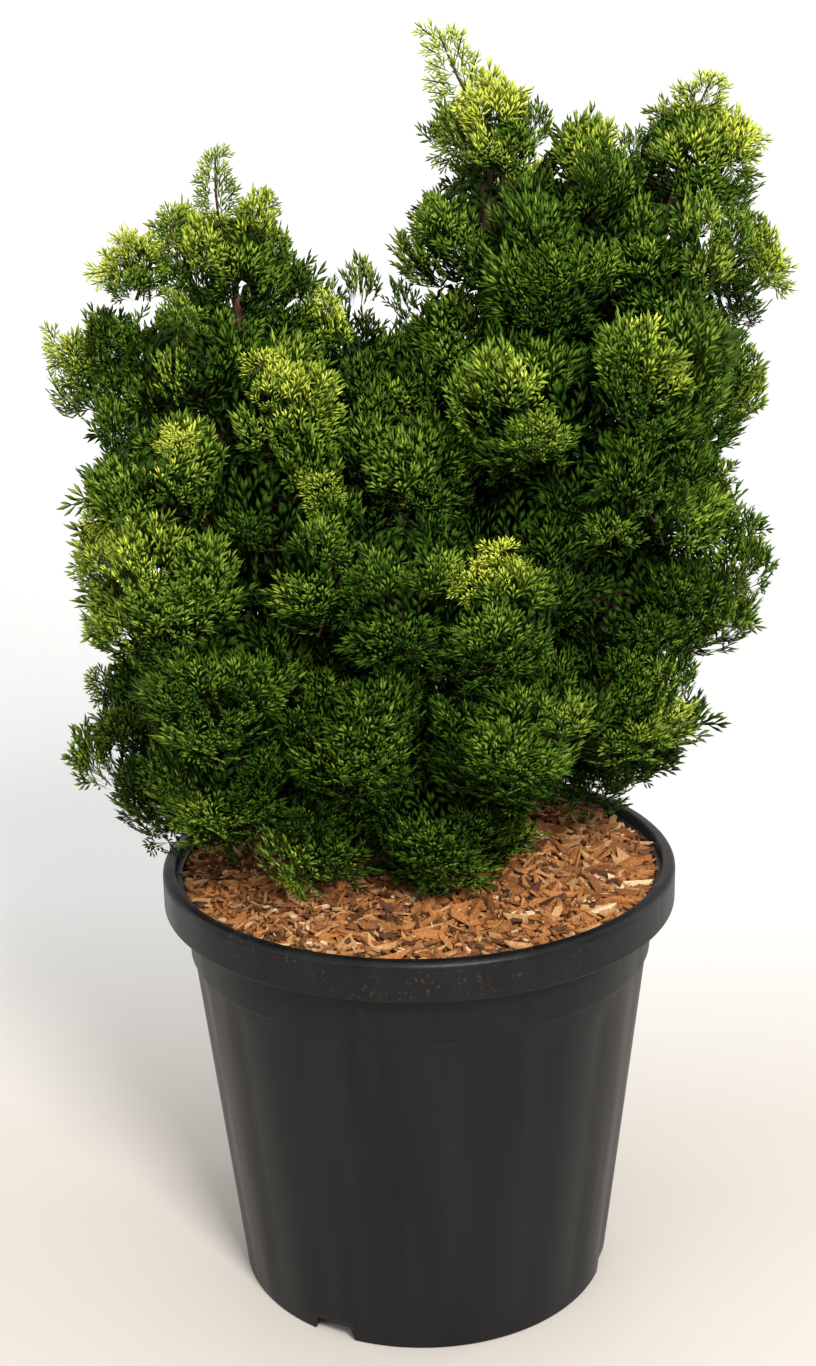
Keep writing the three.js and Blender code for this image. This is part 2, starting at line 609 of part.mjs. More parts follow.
// A sprig: a twig from the nearest lobe's centre to a point outside it, with a spray at its end that
// reaches the point and a smaller one to each side.
function sprig(tip, lobes) {
  const nearest = lobes.reduce((best, lobe) => (
    lobe.centre.distanceTo(tip) < best.centre.distanceTo(tip) ? lobe : best));
  const along = tip.clone().sub(nearest.centre);
  const length = along.length();
  const axis = along.normalize();
  const face = new THREE.Vector3(0, -1, 0);
  const side = new THREE.Vector3().crossVectors(axis, face).normalize();
  const at = (share) => nearest.centre.clone().addScaledVector(axis, share * length);
  const curve = new THREE.LineCurve3(nearest.centre, at(1 - SPRIG_SPRAY / 2));
  const radiusAt = (share) => THREE.MathUtils.lerp(TWIG_RADIUS, TWIG_TIP_RADIUS, share);
  const pieces = [limb(curve, radiusAt, TWIG_SIDES, 1)];
  const add = (root, direction, size, teeth) => {
    pieces.push(solid(sprayAt({ root, axis: direction, face, length: size, teeth })));
  };
  add(at(1 - SPRIG_SPRAY), axis, SPRIG_SPRAY * length, SPRIG_TEETH);
  for (const turn of [-1, 1]) {
    const direction = axis.clone().addScaledVector(side, SPRIG_SIDE_TURN * turn).normalize();
    const root = at(1 - SPRIG_SIDE_PLACE * SPRIG_SPRAY + SPRIG_STAGGER * turn);
    add(root, direction, SPRIG_SIDE_SPRAY * length, SPRIG_SIDE_TEETH);
  }
  return pieces;
}

// The dense core of a lobe, cut to the lobe's space.
function coreOf(lobe, planes) {
  const geometry = new THREE.IcosahedronGeometry(1);
  geometry.scale(...lobe.radii.clone().multiplyScalar(CORE_SHARE).toArray());
  geometry.translate(...lobe.centre.toArray());
  let core = solid(geometry);
  for (const { normal, offset } of planes) {
    if (offset - normal.dot(lobe.centre) < lobe.radius * CORE_SHARE * CORE_MARGIN) {
      core = core.trimByPlane(normal.clone().negate().toArray(), -offset);
    }
  }
  return core;
}

// Points along a limb with the radius that foliage stays out of.
function obstaclesAlong({ curve, radiusAt }) {
  const steps = Math.max(2, Math.round(curve.getLength() / OBSTACLE_STEP));
  return curve.getSpacedPoints(steps).map((point, i) => ({ point, radius: radiusAt(i / steps) + 2 * GAP }));
}

function foliageMass(mass, index, masses, limbs, stems) {
  const random = seededRandom(FOLIAGE_SEED + index);
  const others = [...limbs.values(), ...stems.values()].filter((each) => each !== mass.stem);
  const obstacles = others.flatMap(obstaclesAlong);
  const pieces = [mass.stem.body];
  for (const lobe of mass.lobes) {
    const planes = spaceOf(lobe, mass, masses);
    pieces.push(coreOf(lobe, planes));
    pieces.push(...spraysRound(lobe, planes, obstacles, random));
  }
  for (const tip of mass.sprigs) {
    pieces.push(...sprig(tip, mass.lobes));
  }
  const clear = wasm.Manifold.union(others.map((each) => each.grown));
  const fused = wasm.Manifold.union(pieces).simplify(FUSED_TOLERANCE);
  return largestBody(fused.subtract(clear));
}

// The plant in its pot

function build() {
  const plant = new THREE.Group();
  plant.add(meshOf('pot', pot(), potPlastic));
  plant.add(meshOf('root_ball', rootBall(), soil));
  plant.add(meshOf('bark_mulch', barkMulch(), barkChips));

  const limbs = makeLimbs();
  for (const each of limbs.values()) {
    plant.add(meshOf(each.name, each.body, bark));
  }

  const stems = new Map(MASSES.map((mass) => [mass.name, makeStem(mass, limbs)]));
  const masses = MASSES.map((mass) => ({
    name: mass.name,
    stem: stems.get(mass.name),
    lobes: lobesOf(mass),
    sprigs: (mass.sprigs ?? []).map((tip) => new THREE.Vector3(...tip)),
  }));
  masses.forEach((mass, index) => {
    const body = foliageMass(mass, index, masses, limbs, stems);
    const material = GOLD_MASSES.includes(mass.name) ? goldFoliage : foliage;
    plant.add(meshOf(mass.name, body, material));
  });
  return plant;
}

export default build();
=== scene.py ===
import math

import bpy
import numpy as np
from mathutils import Matrix, Vector, noise


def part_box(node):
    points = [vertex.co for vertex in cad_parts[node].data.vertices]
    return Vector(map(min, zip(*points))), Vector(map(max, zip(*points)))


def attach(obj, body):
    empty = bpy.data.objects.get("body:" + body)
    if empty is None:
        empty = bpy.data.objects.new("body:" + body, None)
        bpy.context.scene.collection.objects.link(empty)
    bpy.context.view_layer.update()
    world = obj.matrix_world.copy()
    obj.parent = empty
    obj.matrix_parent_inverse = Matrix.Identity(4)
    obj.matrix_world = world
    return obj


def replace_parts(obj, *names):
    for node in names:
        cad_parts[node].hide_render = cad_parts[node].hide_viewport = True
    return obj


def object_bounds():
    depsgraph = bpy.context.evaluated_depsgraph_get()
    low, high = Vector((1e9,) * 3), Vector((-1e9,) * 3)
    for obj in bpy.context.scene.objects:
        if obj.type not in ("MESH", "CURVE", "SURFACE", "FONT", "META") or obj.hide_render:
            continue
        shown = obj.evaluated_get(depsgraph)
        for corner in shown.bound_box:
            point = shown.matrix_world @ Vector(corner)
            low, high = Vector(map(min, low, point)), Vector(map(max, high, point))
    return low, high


# The looks of a potted hinoki cypress: pot, bark mulch, limbs and foliage. Metres, in the solids' frame:
# +Z is up, +X is to the right of the front view, the front faces -Y, and the origin is under the pot.

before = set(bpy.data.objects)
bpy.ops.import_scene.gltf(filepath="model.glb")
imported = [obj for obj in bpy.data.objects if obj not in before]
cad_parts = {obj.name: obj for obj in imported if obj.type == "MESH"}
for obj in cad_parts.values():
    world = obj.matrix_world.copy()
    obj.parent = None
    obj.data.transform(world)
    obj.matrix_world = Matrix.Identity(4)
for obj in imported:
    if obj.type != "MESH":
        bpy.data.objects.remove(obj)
SOLIDS_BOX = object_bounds()

# Camera, as the photograph was taken

PHOTO_HEIGHT = 1366  # pixels
FOCAL_LENGTH = 2000  # pixels
SENSOR = 36  # millimetres, along the picture's longer side
EYE = (0, -1.2086, 0.7914)
YAW = math.radians(-0.23)
PITCH = math.radians(17.678)  # downwards
ROLL = math.radians(-1.088)

# Pot and what fills it

POT_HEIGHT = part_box("pot")[1].z
RIM_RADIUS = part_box("pot")[1].x
LIP_RADIUS = 0.158
COLLAR_RADIUS = 0.152
SHOULDER_RADIUS = 0.1485  # where the tapering body meets the collar
FOOT_RADIUS = 0.123
WALL = 0.003
RIM_BAND = 0.025
COLLAR_BAND = 0.034
COLLAR_TOP = POT_HEIGHT - RIM_BAND
COLLAR_FOOT = COLLAR_TOP - COLLAR_BAND
FLOOR_DISC_RADIUS = 0.08
DRAIN_RISE = 0.009
DRAIN_INNER_RADIUS = 0.088
DRAIN_OUTER_RADIUS = 0.117
FLOOR_TOP = WALL + DRAIN_RISE
NOTCH_ANGLES = (-29, 76, 151, 256)  # degrees from the front
NOTCH_HEIGHT = 0.010
NOTCH_FOOT = 0.030
NOTCH_TOP = 0.024
NOTCH_DEPTH = 0.031
POT_SIDES = 180
POT_RING_STEP = 0.012
LONG_RUN = 4 * POT_RING_STEP / 7  # a longer straight run of the profile gets rings
RUN_EDGE = 0.0012  # from such a run's end to the ring beside it
FLUTES = 18
FLUTE_DEPTH = 0.0012
FLUTE_FADES = (0.012, 0.02)  # over which they fade out, under the collar and above the foot

MULCH_EDGE = 0.280  # height of the bark at the pot's wall
GROUND = 0.290  # and in the middle, within this radius
GROUND_RADIUS = 0.030
MULCH_DEPTH = 0.014
MULCH_SIDES = 180
MULCH_RINGS = 60
MULCH_WAVES = ((60, 0, 0.0012), (260, 5, 0.0010))  # noise: scale, level and height
MULCH_SINK = 0.0006
CHIP_SEED = 11
CHIPS = 7400
CHIP_SHAPES = 8
CHIPS_FROM = 0.020  # from the pot's axis
CHIPS_CLEAR = 0.003  # of the pot's wall
CHIP_LENGTH = 0.0105  # of a middling chip
CHIP_LENGTHS = (0.004, 0.028)
CHIP_SIDES = (0.65, 1.25)  # how much shorter at the far left and longer at the far right
CHIP_SPREAD = 0.45  # of the logarithms of length and width
CHIP_OVERHANG = 0.006  # how much longer than the room before the wall a chip may be
CHIP_SLIMNESS = -1.55  # logarithm of a middling width, in lengths
CHIP_WIDTHS = (0.09, 0.6)  # in lengths
CHIP_DEPTHS = (0.0006, 0.0020)
CHIP_TILT = 0.34
CHIP_ROLL = 1.5  # times the tilt
CHIP_CALM = (0.02, 0.3)  # chips lie flatter within this of the wall, down to this share
CHIP_BEND = 0.12  # how far its ends bend up or down, in its length
CHIP_LIFT = 0.0042
CHIP_SINK = 0.0004
CHIP_RAG = 0.12  # how ragged a chip's ends are, in its own length and width
CHIP_TAPER = 0.94  # of its underside

# A kind of chip: its share of them all, its dark and its light colour.

CHIP_KINDS = {
    "orange": (0.36, (0.29, 0.100, 0.024), (0.48, 0.200, 0.058)),
    "brown": (0.28, (0.16, 0.056, 0.016), (0.30, 0.118, 0.036)),
    "tan": (0.19, (0.38, 0.185, 0.066), (0.56, 0.315, 0.135)),
    "pale": (0.05, (0.60, 0.405, 0.215), (0.80, 0.610, 0.370)),
    "dark": (0.12, (0.060, 0.024, 0.009), (0.13, 0.054, 0.022)),
}

# Limbs

TRUNK_RADIUS = 0.013
TRUNK_TAPER = 0.0015
TRUNK_TOP = 0.340
TRUNK_LEAN = (-0.002, 0.001)  # of its fork, to the right and back
TRUNK_POINTS = 12
FLARE_RADIUS = 0.021
FLARE_HEIGHT = 0.020
ROOT_RIDGES = 4
RIDGE_DEPTH = 0.16  # of the roots' ridges, in the trunk's radius
BOUGH_RADII = (0.0042, 0.0024)
BOUGH_SAG = 0.1  # in its length
BOUGH_STOP = 0.62  # how far before its lobe's middle it ends, in the lobe's radii
STEM_RADII = (0.0022, 0.0011)
STEM_SLOPE = 0.45  # how steeply a stem rises from its limb, at best
STEM_PLACES = 40
TWIG_RADII = (0.0010, 0.0006)
TWIG_SAG = 0.002
TWIG_STEPS = 3
GAP = 0.0003  # between things that would touch
TRUNK_TUBE = (48, 0.0012, 0.09)  # sides, step from ring to ring, depth of the bark's ridges
LEADER_TUBE = (28, 0.0025, 0.16)
BOUGH_TUBE = (16, 0.0025, 0.16)
TWIG_TUBE = (4, 0.008)
STEEP = 0.9  # upward share of a direction
LEVEL_SIDE = (0.31, 0.17, 0.93)  # a tube's first side is square to this, or to the next if steep
STEEP_SIDE = (1, 0, 0)
BARK_RIDGES = ((3.2, 34, 1.0), (8, 70, 0.6))  # noise: scale round, scale along and share of the depth
TRUNK_BARK = 3  # the trunk's place in that noise
LIMB_BARKS = 10  # the step in it from limb to limb

# A leader: the limb it leaves, its radii at its two ends and the points that it passes. A bough leaves
# its leader at a share of the leader's length, and ends in the mass of the same name.

LEADERS = {
    "left_leader": ("trunk", (0.0085, 0.003),
        [(-0.004, 0.001, 0.322), (-0.034, 0.004, 0.385), (-0.066, 0.004, 0.48),
         (-0.09, 0.006, 0.58), (-0.104, 0.006, 0.65)]),
    "right_leader": ("trunk", (0.0085, 0.003),
        [(0.004, 0.003, 0.326), (0.028, 0.012, 0.4), (0.044, 0.02, 0.5),
         (0.048, 0.018, 0.61), (0.047, 0.006, 0.712)]),
    "front_leader": ("trunk", (0.0065, 0.0025),
        [(0.001, -0.004, 0.318), (0, -0.036, 0.372), (-0.004, -0.06, 0.44),
         (-0.006, -0.056, 0.52), (-0.003, -0.036, 0.572)]),
    "back_leader": ("trunk", (0.0065, 0.0025),
        [(-0.002, 0.005, 0.324), (-0.012, 0.044, 0.39), (-0.022, 0.066, 0.47),
         (-0.03, 0.07, 0.545)]),
    "right_side_leader": ("right_leader", (0.006, 0.0025),
        [(0.035, 0.015, 0.438), (0.072, 0.008, 0.5), (0.104, 0.004, 0.58),
         (0.128, -0.002, 0.65), (0.15, -0.006, 0.696)]),
}
BOUGHS = {
    "left_wing": ("left_leader", 0.72),
    "left_cheek": ("left_leader", 0.42),
    "left_cheek_low": ("left_leader", 0.24),
    "low_left": ("left_leader", 0.12),
    "front_right": ("front_leader", 0.3),
    "right_low": ("right_leader", 0.16),
    "right_hip": ("right_side_leader", 0.12),
    "right_fan": ("right_side_leader", 0.6),
    "right_ear": ("right_side_leader", 0.74),
    "back_left": ("back_leader", 0.42),
    "back_right": ("right_leader", 0.34),
}

# A mass of foliage: its limb, its lobes (centre x, y, z, radius across, radius up) and the points that
# its sprigs reach.

MASSES = {
    # Left tower
    "left_crest": ("left_leader",
        [(-0.106, 0.005, 0.668, 0.036, 0.038), (-0.156, -0.008, 0.668, 0.022, 0.02)],
        [(-0.112, 0.005, 0.738), (-0.078, 0.005, 0.712), (-0.133, 0.005, 0.704),
         (-0.183, -0.01, 0.674), (-0.16, -0.01, 0.69)]),
    "left_wing": ("left_wing_bough", [(-0.168, 0.004, 0.606, 0.042, 0.037)], [(-0.222, 0, 0.626)]),
    "left_shoulder": ("left_leader", [(-0.124, -0.04, 0.616, 0.042, 0.036)], []),
    "left_inner": ("left_leader", [(-0.056, 0.004, 0.61, 0.04, 0.038)], [(-0.044, 0, 0.652)]),
    "left_front": ("left_leader",
        [(-0.08, -0.062, 0.592, 0.036, 0.038), (-0.084, -0.068, 0.54, 0.046, 0.044)],
        [(-0.084, -0.066, 0.63)]),
    "left_cheek": ("left_cheek_bough",
        [(-0.142, -0.072, 0.554, 0.044, 0.04), (-0.14, -0.082, 0.5, 0.052, 0.05)],
        [(-0.192, -0.08, 0.531), (-0.13, -0.1, 0.59)]),
    "left_cheek_low": ("left_cheek_low_bough", [(-0.11, -0.084, 0.446, 0.052, 0.048)], []),
    # Front and middle
    "front_left": ("front_leader", [(-0.05, -0.094, 0.516, 0.036, 0.048)], [(-0.054, -0.106, 0.566)]),
    "front_centre": ("front_leader", [(-0.008, -0.104, 0.5, 0.042, 0.048)], []),
    "centre": ("front_leader",
        [(-0.006, -0.012, 0.59, 0.044, 0.042), (0.002, -0.054, 0.556, 0.044, 0.042)],
        []),
    "low_front": ("front_leader", [(-0.038, -0.084, 0.412, 0.05, 0.048)], []),
    "front_right": ("front_right_bough",
        [(0.048, -0.11, 0.478, 0.04, 0.05), (0.056, -0.102, 0.414, 0.05, 0.046)],
        [(0.026, -0.124, 0.512), (0.048, -0.124, 0.53)]),
    "low_centre": ("trunk", [(0.016, -0.058, 0.354, 0.056, 0.048)], []),
    "low_front_left": ("trunk",
        [(-0.104, -0.066, 0.38, 0.052, 0.05), (-0.06, -0.058, 0.342, 0.052, 0.042)],
        [(-0.082, -0.084, 0.303)]),
    "low_left": ("low_left_bough",
        [(-0.17, -0.012, 0.402, 0.037, 0.036), (-0.152, -0.004, 0.354, 0.044, 0.042)],
        [(-0.206, -0.016, 0.42), (-0.164, -0.01, 0.312)]),
    # Right tower
    "right_column": ("right_leader",
        [(0.056, -0.008, 0.738, 0.027, 0.034), (0.04, 0.008, 0.684, 0.04, 0.046)],
        [(0.018, -0.01, 0.802), (0.016, 0.006, 0.738)]),
    "right_inner": ("right_leader", [(0.038, 0.006, 0.62, 0.05, 0.05)], []),
    "right_top": ("right_leader",
        [(0.102, -0.016, 0.71, 0.042, 0.037), (0.086, -0.046, 0.668, 0.048, 0.046)],
        [(0.114, -0.02, 0.75)]),
    "right_crest": ("right_side_leader",
        [(0.162, -0.008, 0.726, 0.036, 0.036), (0.138, -0.042, 0.672, 0.044, 0.046)],
        [(0.179, -0.01, 0.776), (0.206, -0.01, 0.744)]),
    "right_ear": ("right_ear_bough", [(0.197, 0, 0.658, 0.029, 0.028)], [(0.227, 0, 0.664)]),
    "right_side": ("right_side_leader", [(0.164, -0.008, 0.604, 0.042, 0.044)], [(0.205, -0.014, 0.588)]),
    "right_fan": ("right_fan_bough", [(0.13, -0.072, 0.614, 0.042, 0.044)], []),
    "right_chest": ("right_leader", [(0.074, -0.068, 0.6, 0.05, 0.046)], []),
    "right_belly": ("right_side_leader",
        [(0.116, -0.058, 0.554, 0.054, 0.05), (0.154, -0.028, 0.528, 0.038, 0.038)],
        [(0.183, -0.022, 0.534)]),
    "right_middle": ("right_leader", [(0.072, -0.048, 0.508, 0.056, 0.056)], []),
    "right_hip": ("right_hip_bough",
        [(0.164, -0.018, 0.47, 0.044, 0.046), (0.124, -0.026, 0.466, 0.052, 0.05)],
        [(0.206, -0.02, 0.48)]),
    "right_low": ("right_low_bough", [(0.128, -0.044, 0.422, 0.043, 0.046)], [(0.164, -0.05, 0.408)]),
    "right_low_back": ("right_leader", [(0.106, 0.024, 0.36, 0.048, 0.044)], [(0.143, 0.025, 0.336)]),
    # Back
    "back_left_crest": ("left_leader",
        [(-0.098, 0.048, 0.652, 0.038, 0.038), (-0.06, 0.054, 0.604, 0.044, 0.042)],
        [(-0.092, 0.056, 0.692)]),
    "back_left_high": ("left_leader", [(-0.138, 0.054, 0.588, 0.046, 0.044)], []),
    "back_left": ("back_left_bough",
        [(-0.14, 0.066, 0.514, 0.052, 0.05), (-0.1, 0.098, 0.5, 0.048, 0.05)],
        []),
    "back_left_low": ("trunk",
        [(-0.126, 0.066, 0.424, 0.052, 0.052), (-0.092, 0.072, 0.356, 0.05, 0.046)],
        []),
    "back_middle": ("back_leader",
        [(-0.034, 0.076, 0.584, 0.044, 0.042), (-0.03, 0.104, 0.508, 0.05, 0.052)],
        []),
    "back_low": ("back_leader",
        [(-0.044, 0.104, 0.426, 0.05, 0.052), (-0.022, 0.086, 0.354, 0.05, 0.044)],
        []),
    "back_low_right": ("trunk",
        [(0.042, 0.098, 0.408, 0.052, 0.052), (0.058, 0.072, 0.348, 0.048, 0.04)],
        []),
    "back_right_low": ("right_leader", [(0.116, 0.07, 0.43, 0.052, 0.052)], []),
    "back_right": ("back_right_bough",
        [(0.058, 0.096, 0.502, 0.05, 0.05), (0.122, 0.072, 0.518, 0.052, 0.052)],
        []),
    "back_right_high": ("right_side_leader",
        [(0.1, 0.056, 0.606, 0.052, 0.05), (0.158, 0.048, 0.594, 0.042, 0.044)],
        []),
    "back_right_crest": ("right_side_leader",
        [(0.138, 0.036, 0.684, 0.044, 0.042), (0.072, 0.046, 0.68, 0.042, 0.044)],
        [(0.146, 0.04, 0.728)]),
}

# Foliage

FOLIAGE_SEED = 1000
FOLIAGE_FLOOR = 0.296  # height
REACH_SLACK = 0.012  # how far tips may pass the solids' box, in its sizes
PLANE_SLACK = 0.004  # how far fine tips may pass the plane between two masses
LIMB_STEP = 0.006  # between the places where a limb is kept clear
GOLDEN_ANGLE = math.pi * (3 - math.sqrt(5))
UP = np.array((0.0, 0.0, 1.0))
FRONT = np.array((0.0, -1.0, 0.0))

# Light: a place looks for the sky in many directions.

LOOKS = 80
LOOK_AHEAD = 0.15  # least cosine between such a direction and outward
LOOK_FROM = 1.04  # how far out it looks from, in the lobe's radii
LOBE_SHUT = 0.85  # share of a lobe's radii that shuts the sky off
TUFT_LIGHT = 0.11  # a tuft that sees less than this share of the sky doesn't grow

# The crown's surface. Its upright ridges: scale across, scale up and depth.

LUMPS = ((34, 12, 0.020), (75, 32, 0.006))
SURFACE_SEARCH = (0.84, 1.46, 0.04)  # shares of a lobe's radii: from, to, step
SURFACE_RISE = 0.002
BLEND = 0.010  # a mass's lobes merge into one surface over this distance
CLEFT = 0.027  # how far from the plane between two masses the painted shade of a cleft reaches

# Tufts: fans of branchlets that stand on the lobes.

TUFT_SPACING = 0.0302
SMALL_LOBE = 0.036  # tufts stand closer together on smaller lobes
TUFT_STRAY = 0.16  # radians, how far a tuft strays from its even place
TUFT_KEEP = 0.88  # share of the lobe's radius that has to be in its space
TUFT_REACHES = (0.93, 1.15)  # times the distance to the crown's surface
TUFT_LIFT = 1.0  # how much a tuft turns upwards
TUFT_LENGTH = 0.039
TUFT_LENGTHS = (0.80, 1.30)
TUFT_MOST = 0.92  # at most this share of its tip's distance from the lobe's middle
TUFT_WIDTHS = (1.42, 0.72)  # of a tuft's spread, along and across
PEAK = 0.42  # how much further some tufts on a lobe's top reach
PEAKS = 0.50  # share of them
PEAK_WIDTH = 0.72  # of such a tuft's spread
FAN_STRAY = 0.24  # how far a tuft's flat side strays from facing outward
FAN_ROOT = 0.26  # how far its branchlets' roots stand apart, in lengths
FAN_START = 1.14  # how far out its root may be, in the lobe's radii
FAN_LEAST = 0.55  # share of its hands that has to lie in its space

# Branchlets: ribs with hands of fine tips.

BRANCHLETS = 18  # in a tuft of the usual length
FEWEST_BRANCHLETS = 6
BRANCHLET_POWER = 1.5  # how fast their number grows with the tuft's length
BRANCHLET_LEAN = 0.60  # radians, the outermost ones away from the tuft's axis
BRANCHLET_DROP = 0.42  # how much shorter these are
BRANCHLET_RISE = 0.40  # how far up the axis the middle ones start, in lengths
BRANCHLET_STRAY = 0.07
BRANCHLET_REACHES = (0.86, 1.06)
LONG_BRANCHLETS = 0.07  # share of them that reach further
LONG_REACHES = (1.05, 1.25)  # how much further
HAND_LENGTH = 0.0205
HAND_SHARE = 0.62  # at most this share of its branchlet
HAND_SIZES = (0.9, 1.12)
HAND_TURN = 0.60  # radians, of a side hand
HAND_TURNS = (0.8, 1.2)  # how much such a turn varies
HAND_CURL = 0.20  # how far a side hand stands out of its fan
HAND_CUP = 0.10  # how far a hand's far end bends out, in lengths
HAND_STRAY = 0.36  # how far a hand's flat side strays from its fan's
SIDE_HAND = 0.54  # where along a branchlet its side hand leaves it
LOW_HAND = 0.40  # and the one to its other side, if it has one
SIDE_HAND_SIZES = (0.95, 1.2)
RIB_WIDTH = 0.0011  # of a rib of the usual length
RIB_LENGTH = 0.025
RIB_LEAST = 0.004  # shorter ones don't show
RIB_END = 0.6  # how far before its branchlet's tip a rib ends, in hands

# A hand's strokes. Axis: from, to, share of the width, level. Sides: height, turn, length, level. The
# levels are 0 for the axis, 1 for its lower strokes and 2 for its leading tips.

HAND_AXIS = ((-0.04, 0.55, 0.9, 0), (0.42, 1.0, 1.0, 2))
HAND_SIDES = ((0.06, 0.56, 0.52, 1), (0.20, 0.52, 0.54, 1), (0.34, 0.46, 0.50, 2), (0.49, 0.38, 0.44, 2))
HAND_VARIANTS = 12
STROKE_TURNS = (0.82, 1.18)
STROKE_LENGTHS = (0.85, 1.15)
STROKE_WIDTHS = (0.85, 1.1)
STROKE_SHIFT = 0.03  # of its start, along the axis
STROKE_WIDTH = 0.103  # of a hand a unit long
STROKE_BELLY = 0.66  # where along a stroke it is widest
STROKE_DEPTH = 0.5  # of its width

# Inner sprays: broad hands under the tufts and between the lobes, coloured with painted shade.

INNER_DEPTHS = (0.64, 0.86)  # shares of the lobe's radii; the last only where light hardly reaches
INNER_LOBE = 0.032  # a smaller lobe has its inner sprays deeper, and no peaks
SMALL_LOBE_DEPTH = 0.45
INNER_SPACING = 0.0126
INNER_LENGTH = 0.022
INNER_WIDTH = 1.4  # times a fine stroke's
INNER_STRAY = 0.06
INNER_LEAN = 0.35
INNER_SLACK = 0.002
INNER_LIGHT = 0.24  # most light where the last ones grow
CLEFT_SPACING = 0.0155
CLEFT_STRAY = 0.4  # in spacings
CLEFT_REACH = (0.88, 1.5)  # shares of the nearest lobe's radii
CLEFT_LIGHT = 0.21  # most light where they grow
CLEFT_LEAN = 0.5
CLEFT_TIP = 0.3  # how much less their flat sides turn up than sideways

# Sprigs: twigs that stand out of the crown, with shoots to both sides.

SPRIG_START = 0.40  # share of its length where the first shoot leaves it
SPRIG_STOP = 0.7  # how far before the tip the last one may, in its own length
SPRIG_TWIG = 0.92  # share of its length that its twig reaches
SPRIG_AHEAD = 0.02
SPRIG_STEPS = 12
SPRIG_FORKS = (0.0024, 0.0048)  # between the shoots, at its start and at its tip
SPRIG_SHOOTS = (0.020, 0.013)  # their lengths
SPRIG_TURNS = (0.85, 0.50)
SPRIG_DEPTH = 0.8  # how far the shoots stand out of the sprig's plane at its start
SPRIG_BEND = 0.05
SPRIG_DIP = 0.5  # how far below its lobe's middle a level sprig starts, in radii
SHOOT_LENGTHS = (0.8, 1.15)
SHOOT_HANDS = (0.10, 0.32, 0.54)  # where along a shoot its side hands leave it
SHOOT_HAND = 0.0125
SHOOT_HAND_SHARE = 0.8
SHOOT_HAND_SIZES = (0.85, 1.1)
BOLD_SPRIGS = {"right_column": 1.4, "right_crest": 1.15, "left_wing": 1.15, "front_right": 1.2}

# Colours of the tips, from the painted shade of the inside to the youngest growth.

TONES = {
    "shade": ((0.009, 0.027, 0.001), (0.016, 0.044, 0.002)),
    "deep": ((0.021, 0.053, 0.002), (0.032, 0.076, 0.003)),
    "mid": ((0.040, 0.089, 0.004), (0.060, 0.123, 0.006)),
    "fresh": ((0.081, 0.148, 0.010), (0.115, 0.195, 0.017)),
    "bright": ((0.143, 0.222, 0.021), (0.196, 0.284, 0.032)),
    "lime": ((0.225, 0.314, 0.026), (0.330, 0.416, 0.038)),
    "gold": ((0.410, 0.475, 0.045), (0.620, 0.690, 0.090)),
}
MOST_STROKES = 45000  # in one piece
PATCH_SCALES = (20, 9)  # across and up
CROWN_MIDDLE = 0.52

# Tones: a tuft's usual one, and how much lighter or darker it and its parts are. Several of these are
# painted light and shade, as noted at each.

BASE_TONE = 3.25
BRIGHT_TUFTS = 0.40  # share of them that are lighter
BRIGHT_TONE = 0.9
PEAK_TONE = 0.7
TOP_TONE = 0.7  # painted light: how much lighter a lobe's top is than its middle
RISING_TONE = 0.6  # painted light: how much lighter a branchlet is that points up
PATCH_TONE = 0.85
RIDGE_TONE = 58  # painted light and shade: lighter per metre that a tuft stands out, darker where it sinks in
HEIGHT_TONE = 1.2  # per metre above the crown's middle
CLEFT_TONE = 2.2  # painted shade, partly the darker older leaves there: darker at the plane between two masses
FLANK_TONE = 0.8  # painted shade: how much darker the outermost branchlets are
SIDE_HAND_TONE = 1.5  # painted shade: how much darker a side hand is
LEVEL_TONES = (-0.4, 0.0, 0.65)  # of the levels of a hand's strokes: painted shade on the lower ones, and lighter leading tips, partly young growth and partly painted light
RIB_TONES = (1.2, 2)  # how much darker a rib is than its tips, and the lightest one
INNER_TONES = (-0.7, 0.9)  # in the dark, and how much lighter in the open
SPRIG_TONE = 1.2
SPRIG_SHADE = (0.4, 0.8)  # shoots below this share of a sprig are this much darker
SHOOT_HAND_TONE = 0.5  # painted shade: how much darker a shoot's side hands are
SHOOT_RIB_TONES = (1, 3)

# Where the young growth is: x, y, z, radius and how many tones lighter.

YOUNG_PLACES = [
    (0.030, -0.128, 0.520, 0.020, 3.4),
    (0.050, -0.124, 0.524, 0.024, 1.9),
    (0.020, -0.010, 0.800, 0.036, 1.4),
    (0.046, -0.014, 0.758, 0.036, 2.1),
    (0.062, -0.020, 0.735, 0.026, 1.3),
    (-0.174, -0.010, 0.682, 0.028, 3.1),
    (-0.126, -0.106, 0.590, 0.024, 2.6),
    (-0.152, -0.096, 0.572, 0.026, 1.6),
    (-0.186, -0.086, 0.538, 0.026, 2.2),
    (-0.084, -0.080, 0.622, 0.030, 1.7),
    (-0.044, -0.010, 0.645, 0.024, 1.4),
    (0.132, -0.096, 0.646, 0.018, 2.5),
    (0.150, -0.098, 0.625, 0.022, 1.5),
    (-0.054, -0.118, 0.560, 0.016, 2.6),
    (-0.048, -0.122, 0.535, 0.018, 1.4),
    (0.170, -0.060, 0.415, 0.018, 2.2),
    (0.182, -0.014, 0.765, 0.030, 1.3),
    (0.200, -0.018, 0.736, 0.024, 1.7),
    (0.070, -0.112, 0.625, 0.022, 1.4),
    (0.218, -0.010, 0.664, 0.024, 1.4),
    (0.104, -0.030, 0.745, 0.026, 1.5),
    (-0.215, 0.000, 0.626, 0.022, 0.6),
    (0.150, -0.075, 0.430, 0.045, 1.2),
    (-0.090, -0.095, 0.575, 0.050, 0.9),
    (-0.145, -0.085, 0.500, 0.085, 1.3),
    (-0.105, 0.000, 0.700, 0.050, 0.4),
]

# Openings in the crown where the light background shows in the photo: pixels in the picture, and a radius.

